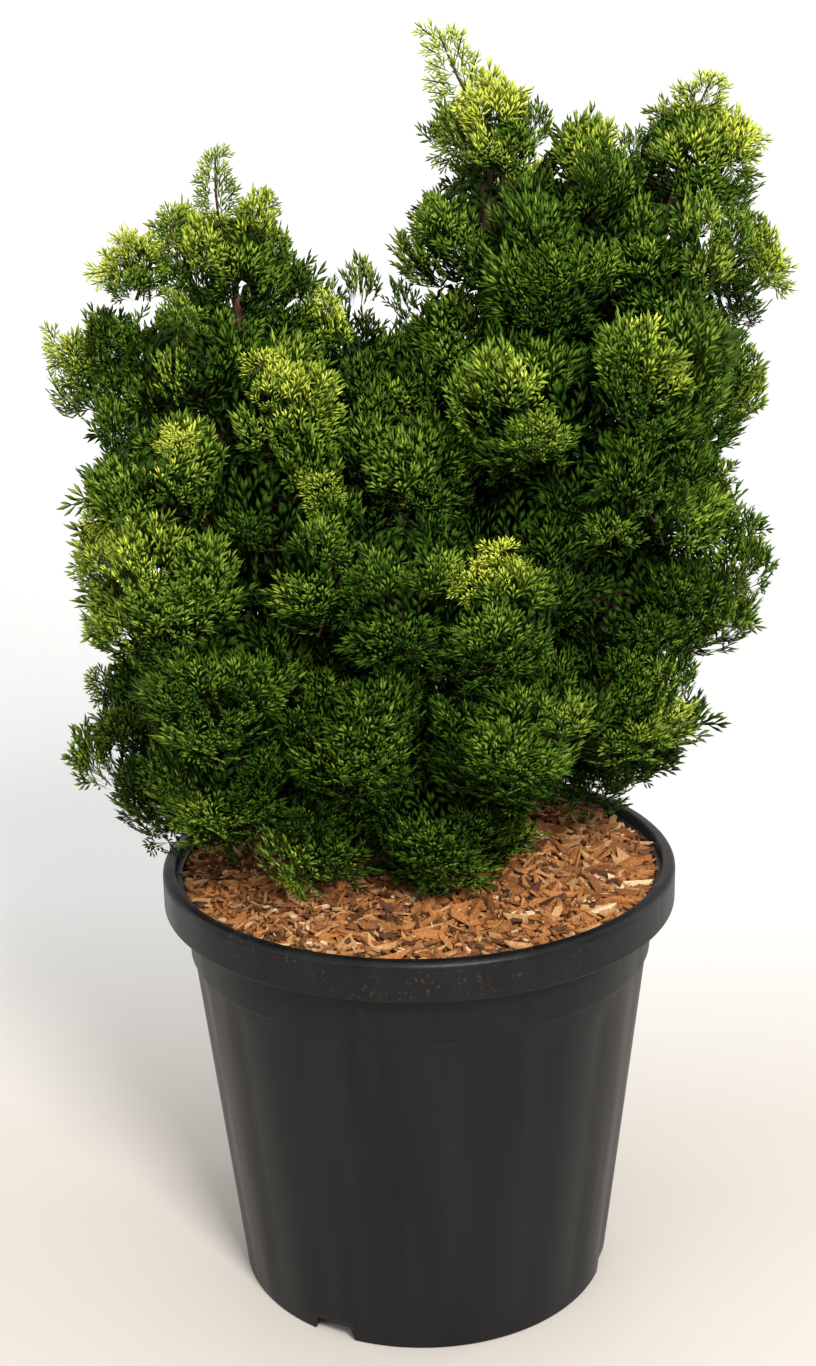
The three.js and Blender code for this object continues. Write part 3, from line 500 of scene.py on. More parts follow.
SKY_OPENINGS = [(203, 284, 0.0022), (241, 284, 0.0024), (237, 304, 0.0026), (236, 316, 0.0020)]
PHOTO_MIDDLE = (408, 683)
OPENING_REACH = 1.5  # how far from the eye they are kept clear
OPENING_MARGIN = 0.004


# Meshes

def unit(vector):
    return vector / np.linalg.norm(vector)


def between(ends, share):
    """The value at this share of the way from one end to the other."""
    return ends[0] + (ends[1] - ends[0]) * share


def put(name, data):
    """A new object in the scene."""
    thing = bpy.data.objects.new(name, data)
    bpy.context.scene.collection.objects.link(thing)
    return thing


def add_piece(name, corners, faces, material, smooth=True):
    """A mesh piece that rides on the plant, from its corners and its equal-sided faces."""
    faces = np.asarray(faces, np.int32)
    mesh = bpy.data.meshes.new(name)
    mesh.vertices.add(len(corners))
    mesh.vertices.foreach_set("co", np.asarray(corners, np.float32).ravel())
    mesh.loops.add(faces.size)
    mesh.loops.foreach_set("vertex_index", faces.ravel())
    mesh.polygons.add(len(faces))
    starts = np.arange(0, faces.size, faces.shape[1], dtype=np.int32)
    mesh.polygons.foreach_set("loop_start", starts)
    mesh.polygons.foreach_set("use_smooth", np.full(len(faces), smooth))
    mesh.update(calc_edges=True)
    mesh.materials.append(material)
    piece = put(name, mesh)
    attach(piece, "root")
    return piece


def join(name, corners, faces, material, smooth=True):
    """One piece of many equal small solids, from their corners (solids, corners, 3)."""
    count, each = corners.shape[:2]
    all_faces = (faces[None] + (np.arange(count) * each)[:, None, None]).reshape(-1, 3)
    return add_piece(name, corners.reshape(-1, 3), all_faces, material, smooth)


def rounded(corners, steps=5):
    """The points of a profile through corners (radius, height, fillet)."""
    points = []
    for i, (radius, height, fillet) in enumerate(corners):
        here = np.array((radius, height))
        if fillet == 0:
            points.append(here)
            continue
        before = np.array(corners[i - 1][:2]) - here
        after = np.array(corners[i + 1][:2]) - here
        half = math.acos(np.clip(unit(before) @ unit(after), -1, 1)) / 2
        reach = fillet / math.tan(half)
        start, end = here + unit(before) * reach, here + unit(after) * reach
        middle = here + unit(unit(before) + unit(after)) * fillet / math.sin(half)
        for share in np.linspace(0, 1, steps + 1):
            toward = start + (end - start) * share - middle
            points.append(middle + unit(toward) * fillet)
    return points


def divided(points):
    """The same profile with points added along its long straight runs."""
    made = [points[0]]
    for before, after in zip(points, points[1:]):
        run = np.linalg.norm(after - before)
        if run > LONG_RUN:
            edge = RUN_EDGE / run
            inner = np.linspace(edge, 1 - edge, max(2, math.ceil(run / POT_RING_STEP)))
            made.extend(before + (after - before) * share for share in inner)
        made.append(after)
    return np.array(made)


def ring_faces(rings, sides):
    """Triangles of a tube of rings with a corner at the middle of each end."""
    here = np.arange(sides)
    there = (here + 1) % sides
    faces = [np.stack([np.zeros(sides, int), 1 + there, 1 + here], 1)]
    for ring in range(rings - 1):
        low, high = 1 + ring * sides, 1 + (ring + 1) * sides
        faces.append(np.stack([low + here, low + there, high + there], 1))
        faces.append(np.stack([low + here, high + there, high + here], 1))
    last = 1 + (rings - 1) * sides
    faces.append(np.stack([last + here, last + there, np.full(sides, 1 + rings * sides)], 1))
    return np.concatenate(faces)


def turned(profile, sides):
    """Corners and triangles of a solid of revolution, from a profile that starts and ends on the axis."""
    angles = np.arange(sides) * 2 * math.pi / sides
    first, last = ([(0.0, 0.0, height)] for _, height in (profile[0], profile[-1]))
    rings = [np.stack([radius * np.sin(angles), -radius * np.cos(angles), np.full(sides, height)], 1)
             for radius, height in profile[1:-1]]
    return np.concatenate([first, *rings, last]), ring_faces(len(rings), sides)


# Materials

def new_material(name):
    """A material with its node tree, its shader, and the place on the piece as a texture coordinate."""
    material = bpy.data.materials.new(name)
    material.use_nodes = True
    tree = material.node_tree
    place = tree.nodes.new("ShaderNodeTexCoord").outputs["Object"]
    return material, tree, tree.nodes["Principled BSDF"], place


def stretched(tree, place, scale):
    mapping = tree.nodes.new("ShaderNodeMapping")
    mapping.inputs["Scale"].default_value = scale
    tree.links.new(place, mapping.inputs["Vector"])
    return mapping.outputs["Vector"]


def noise_of(tree, place, scale, detail=3.0, roughness=0.55):
    texture = tree.nodes.new("ShaderNodeTexNoise")
    texture.inputs["Scale"].default_value = scale
    texture.inputs["Detail"].default_value = detail
    texture.inputs["Roughness"].default_value = roughness
    tree.links.new(place, texture.inputs["Vector"])
    return texture.outputs["Fac"]


def ramp(tree, factor, stops):
    """Colours by a factor, from stops (position, colour)."""
    node = tree.nodes.new("ShaderNodeValToRGB")
    elements = node.color_ramp.elements
    while len(elements) < len(stops):
        elements.new(0.5)
    for element, (position, colour) in zip(elements, stops):
        element.position = position
        element.color = (*colour, 1)
    tree.links.new(factor, node.inputs["Fac"])
    return node.outputs["Color"]


def grey(value):
    return (value, value, value)


def bumped(tree, shader, height, distance, strength):
    bump = tree.nodes.new("ShaderNodeBump")
    bump.inputs["Distance"].default_value = distance
    bump.inputs["Strength"].default_value = strength
    tree.links.new(height, bump.inputs["Height"])
    tree.links.new(bump.outputs["Normal"], shader.inputs["Normal"])


def product(tree, first, second):
    node = tree.nodes.new("ShaderNodeMath")
    node.operation = "MULTIPLY"
    tree.links.new(first, node.inputs[0])
    tree.links.new(second, node.inputs[1])
    return node.outputs[0]


def risen(tree, place, axis, start, end):
    """A factor that rises from 0 to 1 between two places along an axis."""
    parts = tree.nodes.new("ShaderNodeSeparateXYZ")
    tree.links.new(place, parts.inputs[0])
    rise = tree.nodes.new("ShaderNodeMapRange")
    rise.inputs["From Min"].default_value = start
    rise.inputs["From Max"].default_value = end
    tree.links.new(parts.outputs[axis], rise.inputs["Value"])
    return rise.outputs["Result"]


def roughened(tree, shader, factor, low, high):
    """Roughness by a factor, from stops (position, value)."""
    stops = [(position, grey(value)) for position, value in (low, high)]
    tree.links.new(ramp(tree, factor, stops), shader.inputs["Roughness"])


def mottled(name, dark, light, scale, bump_scale, bump_distance, rough, specular):
    """A matte material that varies between two colours, with fine relief."""
    material, tree, shader, place = new_material(name)
    patches = noise_of(tree, place, scale)
    tree.links.new(ramp(tree, patches, [(0.35, dark), (0.65, light)]), shader.inputs["Base Color"])
    roughened(tree, shader, patches, (0.3, rough[0]), (0.7, rough[1]))
    shader.inputs["Specular IOR Level"].default_value = specular
    bumped(tree, shader, noise_of(tree, place, bump_scale), bump_distance, 0.6)
    return material


def pot_plastic():
    """Near-black moulded plastic with dust that has settled on the rim. Soft upright bands vary its
    roughness and lighten its colour as painted sheen.
    """
    material, tree, shader, place = new_material("pot_plastic")
    sheen_streaks = noise_of(tree, stretched(tree, place, (55, 55, 1.6)), 1.0, 4.0)
    specks = noise_of(tree, place, 420, 2.0, 0.4)
    patches = noise_of(tree, place, 24, 4.0)
    # Painted sheen: the colour is lighter along the upright bands, and its slight blue tint is painted to
    # offset the floor's warm reflection.
    plastic = ramp(tree, sheen_streaks, [(0.3, (0.0038, 0.0040, 0.0045)), (0.72, (0.0090, 0.0093, 0.0100))])
    grains = ramp(tree, specks, [(0.60, grey(0)), (0.72, grey(1))])
    clouds = ramp(tree, patches, [(0.50, grey(0)), (0.72, grey(1))])
    on_rim = risen(tree, place, "Z", COLLAR_FOOT, POT_HEIGHT)
    dust = (0.10, 0.070, 0.050, 1)
    mix = tree.nodes.new("ShaderNodeMix")
    mix.data_type = "RGBA"
    clean, dusty, mixed = mix.inputs[6], mix.inputs[7], mix.outputs[2]
    tree.links.new(product(tree, product(tree, grains, clouds), on_rim), mix.inputs["Factor"])
    tree.links.new(plastic, clean)
    dusty.default_value = dust
    tree.links.new(mixed, shader.inputs["Base Color"])
    roughened(tree, shader, sheen_streaks, (0.3, 0.34), (0.75, 0.52))
    shader.inputs["Specular IOR Level"].default_value = 0.2
    bumped(tree, shader, noise_of(tree, place, 700, 3.0), 0.0004, 0.25)
    return material


def bark_material():
    """Reddish brown bark with pale fibres along the limbs."""
    material, tree, shader, place = new_material("bark")
    fibres = noise_of(tree, stretched(tree, place, (260, 260, 34)), 1.0, 6.0, 0.65)
    colours = [(0.30, (0.040, 0.020, 0.012)), (0.50, (0.125, 0.058, 0.030)), (0.72, (0.26, 0.145, 0.085))]
    tree.links.new(ramp(tree, fibres, colours), shader.inputs["Base Color"])
    roughened(tree, shader, fibres, (0.3, 0.95), (0.7, 0.8))
    bumped(tree, shader, fibres, 0.0012, 0.9)
    return material


def studio_paint():
    """Cream on the floor, and white further back."""
    material, tree, shader, place = new_material("studio_paint")
    colours = [(0, (0.63, 0.585, 0.53)), (1, (0.75, 0.745, 0.735))]
    back = risen(tree, place, "Y", 0.15, 0.60)
    tree.links.new(ramp(tree, back, colours), shader.inputs["Base Color"])
    soft = noise_of(tree, place, 40)
    roughened(tree, shader, soft, (0.3, 0.55), (0.7, 0.65))
    bumped(tree, shader, soft, 0.0002, 0.3)
    return material


def twig_material():
    return mottled("twig", (0.022, 0.014, 0.006), (0.066, 0.040, 0.016), 300, 900, 0.0004, (0.7, 0.85), 0.2)


def tip_material(name, dark, light):
    return mottled(f"foliage_{name}", dark, light, 70, 900, 0.0003, (0.50, 0.64), 0.10)


def soil_material():
    return mottled("soil", (0.012, 0.008, 0.006), (0.040, 0.026, 0.018), 90, 500, 0.0015, (0.9, 1.0), 0.2)


def fines_material():
    dark, light = (0.05, 0.020, 0.010), (0.30, 0.125, 0.050)
    return mottled("mulch_fines", dark, light, 420, 700, 0.0015, (0.85, 1.0), 0.2)


def chip_material(name, dark, light):
    """Shredded bark: fibres along each scrap are drawn by fine noise."""
    material, tree, shader, place = new_material(name)
    fibres = noise_of(tree, stretched(tree, place, (700, 240, 500)), 1.0, 4.0, 0.6)
    tree.links.new(ramp(tree, fibres, [(0.32, dark), (0.68, light)]), shader.inputs["Base Color"])
    roughened(tree, shader, fibres, (0.3, 0.92), (0.7, 0.7))
    shader.inputs["Specular IOR Level"].default_value = 0.3
    bumped(tree, shader, fibres, 0.0006, 0.7)
    return material


# Camera, lights and stage

def camera_axes():
    """Forward, right and up."""
    forward = np.array((math.sin(YAW) * math.cos(PITCH), math.cos(YAW) * math.cos(PITCH), -math.sin(PITCH)))
    level = np.array((math.cos(YAW), -math.sin(YAW), 0))
    above = np.cross(level, forward)
    right = math.cos(ROLL) * level + math.sin(ROLL) * above
    return forward, right, -math.sin(ROLL) * level + math.cos(ROLL) * above


def make_camera():
    data = bpy.data.cameras.new("camera")
    data.sensor_width = SENSOR
    data.lens = FOCAL_LENGTH * SENSOR / PHOTO_HEIGHT
    data.clip_start = 0.05
    data.clip_end = 60
    forward, right, up = camera_axes()
    camera = put("camera", data)
    camera.matrix_world = Matrix.Translation(EYE) @ Matrix(np.stack([right, up, -forward], 1)).to_4x4()
    bpy.context.scene.camera = camera


def area_light(name, place, target, size, power, colour=(1, 1, 1)):
    data = bpy.data.lights.new(name, "AREA")
    data.shape = "RECTANGLE"
    data.size, data.size_y = size
    data.energy = power
    data.color = colour
    away = Vector(place) - Vector(target)
    facing = away.to_track_quat("Z", "Y").to_matrix().to_4x4()
    put(name, data).matrix_world = Matrix.Translation(place) @ facing


def light_studio():
    area_light("key", (0.55, -1.70, 1.75), (0, 0, 0.5), (0.55, 0.55), 62, (1.0, 0.985, 0.96))
    area_light("fill", (-1.6, -1.3, 1.2), (0, 0, 0.4), (1.4, 1.4), 9, (0.95, 0.98, 1.0))
    area_light("top", (0.1, 0.1, 2.6), (0, 0, 0.5), (1.6, 1.6), 16)
    area_light("left_strip", (-1.5, 0.55, 0.7), (0, 0, 0.3), (0.4, 1.6), 4)
    area_light("right_strip", (1.5, 0.55, 0.7), (0, 0, 0.3), (0.4, 1.6), 6)
    area_light("backdrop", (0, 2.6, 3.6), (0, 5.5, 1.6), (5.0, 1.5), 205)
    world = bpy.data.worlds.new("studio")
    world.use_nodes = True
    world.node_tree.nodes["Background"].inputs["Color"].default_value = (1, 1, 1, 1)
    world.node_tree.nodes["Background"].inputs["Strength"].default_value = 0.52
    bpy.context.scene.world = world
    bpy.context.scene.view_settings.view_transform = "Standard"


def make_stage():
    """A pale floor that sweeps up into a backdrop far behind."""
    half_width, near, far, bend, top = 9.0, -7.0, 4.5, 2.0, 6.0
    arc = [(far + bend * math.sin(a), bend - bend * math.cos(a)) for a in np.linspace(0, math.pi / 2, 17)]
    profile = [(near, 0.0), *arc, (far + bend, top)]
    corners = [(x, y, z) for y, z in profile for x in (-half_width, half_width)]
    faces = [(2 * i, 2 * i + 1, 2 * i + 3, 2 * i + 2) for i in range(len(profile) - 1)]
    mesh = bpy.data.meshes.new("studio_sweep")
    mesh.from_pydata(corners, [], faces)
    mesh.polygons.foreach_set("use_smooth", [True] * len(faces))
    mesh.materials.append(studio_paint())
    sweep = put("studio_sweep", mesh)


# Pot, soil and bark

def body_radius(height):
    return FOOT_RADIUS + (SHOULDER_RADIUS - FOOT_RADIUS) * height / COLLAR_FOOT


def outside_profile():
    """The pot's outside from the middle of its underside up to the lip: radius, height and fillet."""
    return [
        (0, 0, 0),
        (FLOOR_DISC_RADIUS, 0, 0.001),
        (DRAIN_INNER_RADIUS, DRAIN_RISE, 0.001),
        (DRAIN_OUTER_RADIUS, DRAIN_RISE, 0.001),
        (FOOT_RADIUS - WALL, 0, 0.0008),
        (FOOT_RADIUS, 0, 0.0014),
        (SHOULDER_RADIUS, COLLAR_FOOT, 0.0006),
        (COLLAR_RADIUS - WALL / 2, COLLAR_FOOT + WALL / 2, 0.0012),
        (COLLAR_RADIUS, COLLAR_TOP, 0.001),
        (COLLAR_RADIUS + WALL / 2, POT_HEIGHT - 2 * WALL, 0.0008),
        (RIM_RADIUS - WALL, POT_HEIGHT - 2 * WALL, 0.0008),
        (RIM_RADIUS - WALL, COLLAR_TOP, 0.001),
        (RIM_RADIUS, COLLAR_TOP, 0.0012),
        (RIM_RADIUS, POT_HEIGHT, 0.0042),
        (LIP_RADIUS, POT_HEIGHT, 0.0018),
    ]


def inside_profile():
    """The pot's inside from its floor up to the lip: radius, height and fillet."""
    return [
        (FLOOR_DISC_RADIUS - WALL / 2, WALL, 0.001),
        (DRAIN_INNER_RADIUS - WALL / 2, FLOOR_TOP, 0.001),
        (body_radius(FLOOR_TOP) - WALL, FLOOR_TOP, 0.002),
        (SHOULDER_RADIUS - WALL, COLLAR_FOOT, 0.001),
        (COLLAR_RADIUS - WALL, COLLAR_TOP, 0.004),
        (LIP_RADIUS - WALL / 2, MULCH_EDGE + WALL, 0.001),
    ]


def inside_radius(height):
    points = inside_profile()
    return float(np.interp(height, [p[1] for p in points[2:]], [p[0] for p in points[2:]]))


def press_flutes(corners):
    """Presses shallow upright flutes into the outside of the pot's body."""
    radius = np.hypot(corners[:, 0], corners[:, 1])
    height = corners[:, 2]
    angle = np.arctan2(corners[:, 0], -corners[:, 1])
    outer = (radius > body_radius(height) - WALL / 2) & (height < COLLAR_FOOT - WALL) & (height > WALL)
    under_collar, above_foot = FLUTE_FADES
    fade = np.clip((COLLAR_FOOT - height) / under_collar, 0, 1) * np.clip(height / above_foot, 0, 1)
    press = FLUTE_DEPTH * fade * (1 - np.abs(np.cos(FLUTES / 2 * angle))) * outer
    corners[:, :2] *= (1 - press / np.maximum(radius, WALL))[:, None]


def notch_cutter(degrees):
    """A trapezoid prism pushed out through the pot's foot."""
    outline = [
        (-NOTCH_FOOT / 2, -NOTCH_HEIGHT), (NOTCH_FOOT / 2, -NOTCH_HEIGHT), (NOTCH_FOOT / 2, 0),
        (NOTCH_TOP / 2, NOTCH_HEIGHT), (-NOTCH_TOP / 2, NOTCH_HEIGHT), (-NOTCH_FOOT / 2, 0),
    ]
    near, far = DRAIN_OUTER_RADIUS - GAP, DRAIN_OUTER_RADIUS + NOTCH_DEPTH
    corners = [(x, -distance, z) for distance in (near, far) for x, z in outline]
    count = len(outline)
    sides = [(i, (i + 1) % count, count + (i + 1) % count, count + i) for i in range(count)]
    mesh = bpy.data.meshes.new("notch_cutter")
    mesh.from_pydata(corners, [], [*sides, tuple(reversed(range(count))), tuple(range(count, 2 * count))])
    mesh.transform(Matrix.Rotation(math.radians(degrees), 4, "Z"))
    return put("notch_cutter", mesh)


def cut_notches(pot):
    """Cuts the notches through the pot's foot, for good."""
    cutters = [notch_cutter(degrees) for degrees in NOTCH_ANGLES]
    for cutter in cutters:
        cut = pot.modifiers.new("notch", "BOOLEAN")
        cut.object = cutter
        cut.solver = "EXACT"
    settled = pot.evaluated_get(bpy.context.evaluated_depsgraph_get())
    shell = bpy.data.meshes.new_from_object(settled)
    pot.modifiers.clear()
    pot.data = shell
    for cutter in cutters:
        bpy.data.objects.remove(cutter)


def make_pot():
    profile = rounded([*outside_profile(), *reversed(inside_profile()), (0, WALL, 0)])
    corners, faces = turned(divided(profile), POT_SIDES)
    press_flutes(corners)
    pot = add_piece("pot_shell", corners, faces, pot_plastic())
    cut_notches(pot)
    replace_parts(pot, "pot")


def ground_height(radius):
    """Height of the bark's middle level at a distance from the pot's axis."""
    edge = inside_radius(MULCH_EDGE)
    inward = np.clip((edge - radius) / (edge - GROUND_RADIUS), 0, 1)
    return MULCH_EDGE + (GROUND - MULCH_EDGE) * np.sin(inward * math.pi / 2)


def make_mulch_bed():
    """The fine scraps under the chips: a domed, uneven layer."""
    edge = inside_radius(MULCH_EDGE) - GAP
    foot = MULCH_EDGE - MULCH_DEPTH + GAP
    dome = [(radius, ground_height(radius)) for radius in np.linspace(edge, 0, MULCH_RINGS + 1)[:-1]]
    profile = [(0, foot), (inside_radius(foot) - GAP, foot), *dome, (0, GROUND)]
    corners, faces = turned(profile, MULCH_SIDES)
    for corner in corners[1 + MULCH_SIDES:-1]:
        x, y = corner[:2]
        waves = (noise.noise((x * scale, y * scale, level)) * height for scale, level, height in MULCH_WAVES)
        corner[2] += sum(waves) - MULCH_SINK
    bed = add_piece("mulch_bed", corners, faces, fines_material())
    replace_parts(bed, "bark_mulch")


def chip_shape(random):
    """One scrap's six-sided outline, a unit long and a unit wide, with ragged ends."""
    cut = random.uniform(-CHIP_RAG, CHIP_RAG, 6)
    outline = [(-0.5, cut[0]), (-0.30 + cut[1], 0.42), (0.28 + cut[2], 0.5), (0.5, cut[3]),
               (0.30 + cut[4], -0.46), (-0.32 + cut[5], -0.5)]
    return np.array(outline)


def chip_faces(sides):
    top = [(0, i + 1, i) for i in range(1, sides - 1)]
    bottom = [(sides, sides + i, sides + i + 1) for i in range(1, sides - 1)]
    walls = []
    for i in range(sides):
        j = (i + 1) % sides
        walls += [(i, sides + j, sides + i), (i, j, sides + j)]
    return np.array(top + bottom + walls)


def rotations(yaw, pitch, roll):
    """An array of rotation matrices."""
    cy, sy, cp, sp, cr, sr = (f(a) for a in (yaw, pitch, roll) for f in (np.cos, np.sin))
    rows = [[cy * cp, cy * sp * sr - sy * cr, cy * sp * cr + sy * sr],
            [sy * cp, sy * sp * sr + cy * cr, sy * sp * cr - cy * sr],
            [-sp, cp * sr, cp * cr]]
    return np.moveaxis(np.array(rows), 2, 0)


def chip_sizes(random, distance, bearing, edge):
    """Lengths, widths and depths of chips at these places: longer to the right, and shorter by the wall."""
    rightward = 0.5 + 0.5 * distance * np.cos(bearing) / edge
    middling = CHIP_LENGTH * between(CHIP_SIDES, rightward)
    length = np.clip(middling * random.lognormal(0, CHIP_SPREAD, CHIPS), *CHIP_LENGTHS)
    length = np.minimum(length, 2 * (edge - distance) + CHIP_OVERHANG)
    width = length * np.clip(random.lognormal(CHIP_SLIMNESS, CHIP_SPREAD, CHIPS), *CHIP_WIDTHS)
    return length, width, random.uniform(*CHIP_DEPTHS, CHIPS)


def chip_corners(outline, length, width, depth, bend):
    """The corners of an arched chip's top, and then of its underside, round its own middle."""
    flat = outline * (length, width)
    arch = bend * flat[:, 0] ** 2 / length * 4
    top = np.column_stack([flat, arch + depth / 2])
    bottom = np.column_stack([flat * CHIP_TAPER, arch - depth / 2])
    return np.vstack([top, bottom])


def make_chips():
    """Shredded bark: thin ragged scraps that lie over each other."""
    random = np.random.default_rng(CHIP_SEED)
    edge = inside_radius(MULCH_EDGE)
    distance = np.sqrt(random.uniform((CHIPS_FROM / edge) ** 2, 1, CHIPS)) * (edge - CHIPS_CLEAR)
    bearing = random.uniform(0, 2 * math.pi, CHIPS)
    sizes = np.stack(chip_sizes(random, distance, bearing, edge), 1)
    lift = random.uniform(0, 1, CHIPS) ** 2 * CHIP_LIFT
    tilt = CHIP_TILT * np.clip((edge - distance) / CHIP_CALM[0], CHIP_CALM[1], 1)
    turn = rotations(random.uniform(0, 2 * math.pi, CHIPS), random.normal(0, 1, CHIPS) * tilt,
                     random.normal(0, CHIP_ROLL, CHIPS) * tilt)
    bend = random.normal(0, CHIP_BEND, CHIPS)
    place = np.stack([distance * np.cos(bearing), distance * np.sin(bearing),
                      ground_height(distance) + lift - CHIP_SINK], 1)
    kinds = random.choice(len(CHIP_KINDS), CHIPS, p=[share for share, _, _ in CHIP_KINDS.values()])
    shapes = random.integers(0, CHIP_SHAPES, CHIPS)
    outlines = [chip_shape(random) for _ in range(CHIP_SHAPES)]
    faces = chip_faces(len(outlines[0]))
    for index, (name, (_, dark, light)) in enumerate(CHIP_KINDS.items()):
        corners = [chip_corners(outlines[shapes[i]], *sizes[i], bend[i]) @ turn[i].T + place[i]
                   for i in np.nonzero(kinds == index)[0]]
        material = chip_material(f"bark_{name}", dark, light)
        piece = join(f"chips_{name}", np.array(corners), faces, material, smooth=False)
        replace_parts(piece, "bark_mulch")


# Limbs

def smooth_path(points, steps=24):
    """Points along the centripetal Catmull-Rom curve through these points."""
    points = np.array(points, float)
    course = np.vstack([2 * points[0] - points[1], points, 2 * points[-1] - points[-2]])
    made = [points[0]]
    for p0, p1, p2, p3 in zip(course, course[1:], course[2:], course[3:]):
        d0, d1, d2 = (math.sqrt(np.linalg.norm(b - a)) for a, b in ((p0, p1), (p1, p2), (p2, p3)))
        leave = ((p1 - p0) / d0 - (p2 - p0) / (d0 + d1) + (p2 - p1) / d1) * d1
        arrive = ((p2 - p1) / d1 - (p3 - p1) / (d1 + d2) + (p3 - p2) / d2) * d1
        for t in np.linspace(0, 1, steps + 1)[1:]:
            made.append((2 * t**3 - 3 * t**2 + 1) * p1 + (t**3 - 2 * t**2 + t) * leave
                        + (3 * t**2 - 2 * t**3) * p2 + (t**3 - t**2) * arrive)
    return np.array(made)


def path_length(path):
    return np.linalg.norm(np.diff(path, axis=0), axis=1).sum()


def along(path, shares):
    """Points at these shares of a path's length."""
    run = np.concatenate([[0], np.cumsum(np.linalg.norm(np.diff(path, axis=0), axis=1))])
    return np.stack([np.interp(np.asarray(shares) * run[-1], run, path[:, k]) for k in range(3)], -1)


def bark_swell(angle, rise, relief, place):
    """How many times its radius a limb's bark stands out, at an angle round the limb and a rise along it."""
    return sum((relief * share * noise.noise((around * math.cos(angle), around * math.sin(angle),
                                              place + lengthwise * rise))
                for around, lengthwise, share in BARK_RIDGES), 1)


def tube(path, radii, sides, step, relief=0.0, place=0):
    """Corners and triangles of a tapering limb with closed ends, ridged lengthwise where it has relief."""
    count = max(3, round(path_length(path) / step) + 1)
    shares = np.linspace(0, 1, count)
    centres = along(path, shares)
    tangents = np.gradient(centres, axis=0)
    tangents /= np.linalg.norm(tangents, axis=1)[:, None]
    side = unit(np.cross(tangents[0], LEVEL_SIDE if abs(tangents[0][2]) < STEEP else STEEP_SIDE))
    angles = np.arange(sides) * 2 * math.pi / sides
    corners = []
    for centre, tangent, share in zip(centres, tangents, shares):
        side = unit(side - tangent * (side @ tangent))
        other = np.cross(tangent, side)
        radius = np.full(sides, between(radii, share))
        if relief:
            radius *= [bark_swell(angle, share * count * step, relief, place) for angle in angles]
        outward = np.cos(angles)[:, None] * side + np.sin(angles)[:, None] * other
        corners.append(centre + radius[:, None] * outward)
    return np.concatenate([centres[:1], *corners, centres[-1:]]), ring_faces(count, sides)


def make_limbs():
    """The trunk, leaders and boughs as paths with radii: name -> (path, radii)."""
    foot = np.array((0, 0, GROUND + GAP))
    fork = np.array((*TRUNK_LEAN, TRUNK_TOP))
    limbs = {"trunk": (np.linspace(foot, fork, TRUNK_POINTS), (TRUNK_RADIUS, TRUNK_RADIUS - TRUNK_TAPER))}
    for name, (_, radii, points) in LEADERS.items():
        limbs[name] = (smooth_path(points), radii)
    for mass, (leader, share) in BOUGHS.items():
        start = along(limbs[leader][0], share)
        lobe = MASSES[mass][1][0]
        reach = np.array(lobe[:3]) - start
        length = np.linalg.norm(reach)
        end = np.array(lobe[:3]) - reach * lobe[3] * BOUGH_STOP / length
        middle = (start + end) / 2 - UP * length * BOUGH_SAG
        limbs[f"{mass}_bough"] = (smooth_path([start, middle, end]), BOUGH_RADII)
    return limbs


def make_trunk(path, radii, material):
    """The trunk, ridged where the roots flare."""
    corners, faces = tube(path, radii, *TRUNK_TUBE, TRUNK_BARK)
    rise = np.clip((corners[:, 2] - GROUND) / FLARE_HEIGHT, 0, 1)
    flare = (1 - rise) ** 2
    angle = np.arctan2(corners[:, 1], corners[:, 0])
    widest = (FLARE_RADIUS - TRUNK_RADIUS) / TRUNK_RADIUS + RIDGE_DEPTH * np.cos(ROOT_RIDGES * angle)
    corners[:, :2] *= (1 + flare * widest)[:, None]
    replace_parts(add_piece("trunk_bark", corners, faces, material), "trunk")


def dress_limbs(limbs):
    material = bark_material()
    for index, (name, (path, radii)) in enumerate(limbs.items()):
        if name == "trunk":
            make_trunk(path, radii, material)
        else:
            shape = LEADER_TUBE if name in LEADERS else BOUGH_TUBE
            corners, faces = tube(path, radii, *shape, LIMB_BARKS * index)
            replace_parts(add_piece(f"{name}_bark", corners, faces, material), name)


# Foliage

def lobe_of(row):
    x, y, z, across, up = row
    return {"centre": np.array((x, y, z)), "radii": np.array((across, across, up)),
            "radius": (2 * across + up) / 3}


def space_of(lobe, mass, lobes_by_mass):
    """Planes (normals, offsets) that part a lobe's space from the lobes of other masses and the ground."""
    normals, offsets = [-UP], [-FOLIAGE_FLOOR]
    for other, lobes in lobes_by_mass.items():
        if other == mass:
            continue
        for neighbour in lobes:
            toward = neighbour["centre"] - lobe["centre"]
            distance = np.linalg.norm(toward)
            normal = toward / distance
            share = (distance**2 + lobe["radius"]**2 - neighbour["radius"]**2) / (2 * distance)
            normals.append(normal)
            offsets.append(normal @ lobe["centre"] + share)
    return np.array(normals), np.array(offsets)


def inside(point, space, slack=0.0):
    normals, offsets = space
    return bool((normals @ point <= offsets + slack).all())


def round_places(count, phase):
    """Directions spread evenly over a sphere by the golden angle."""
    place = np.arange(count)
    height = 1 - (2 * place + 1) / count
    level = np.sqrt(1 - height**2)
    turn = phase + place * GOLDEN_ANGLE
    return np.stack([level * np.cos(turn), level * np.sin(turn), height], 1)


def sky_share(point, outward, crown):
    """The share of the directions from a point that no lobe shuts off: of those before it, or of all of
    them where outward is None."""
    looks = round_places(LOOKS, 0)
    if outward is not None:
        looks = looks[looks @ outward > LOOK_AHEAD]
    radii = crown["radii"] * LOBE_SHUT
    start = (point - crown["centres"]) / radii
    step = looks[:, None] / radii
    squared = (step**2).sum(2)
    middle = (start * step).sum(2)
    under_root = middle**2 - squared * ((start**2).sum(1) - 1)
    hit = (under_root > 0) & (np.sqrt(np.maximum(under_root, 0)) > middle)
    return 1 - hit.any(1).mean()


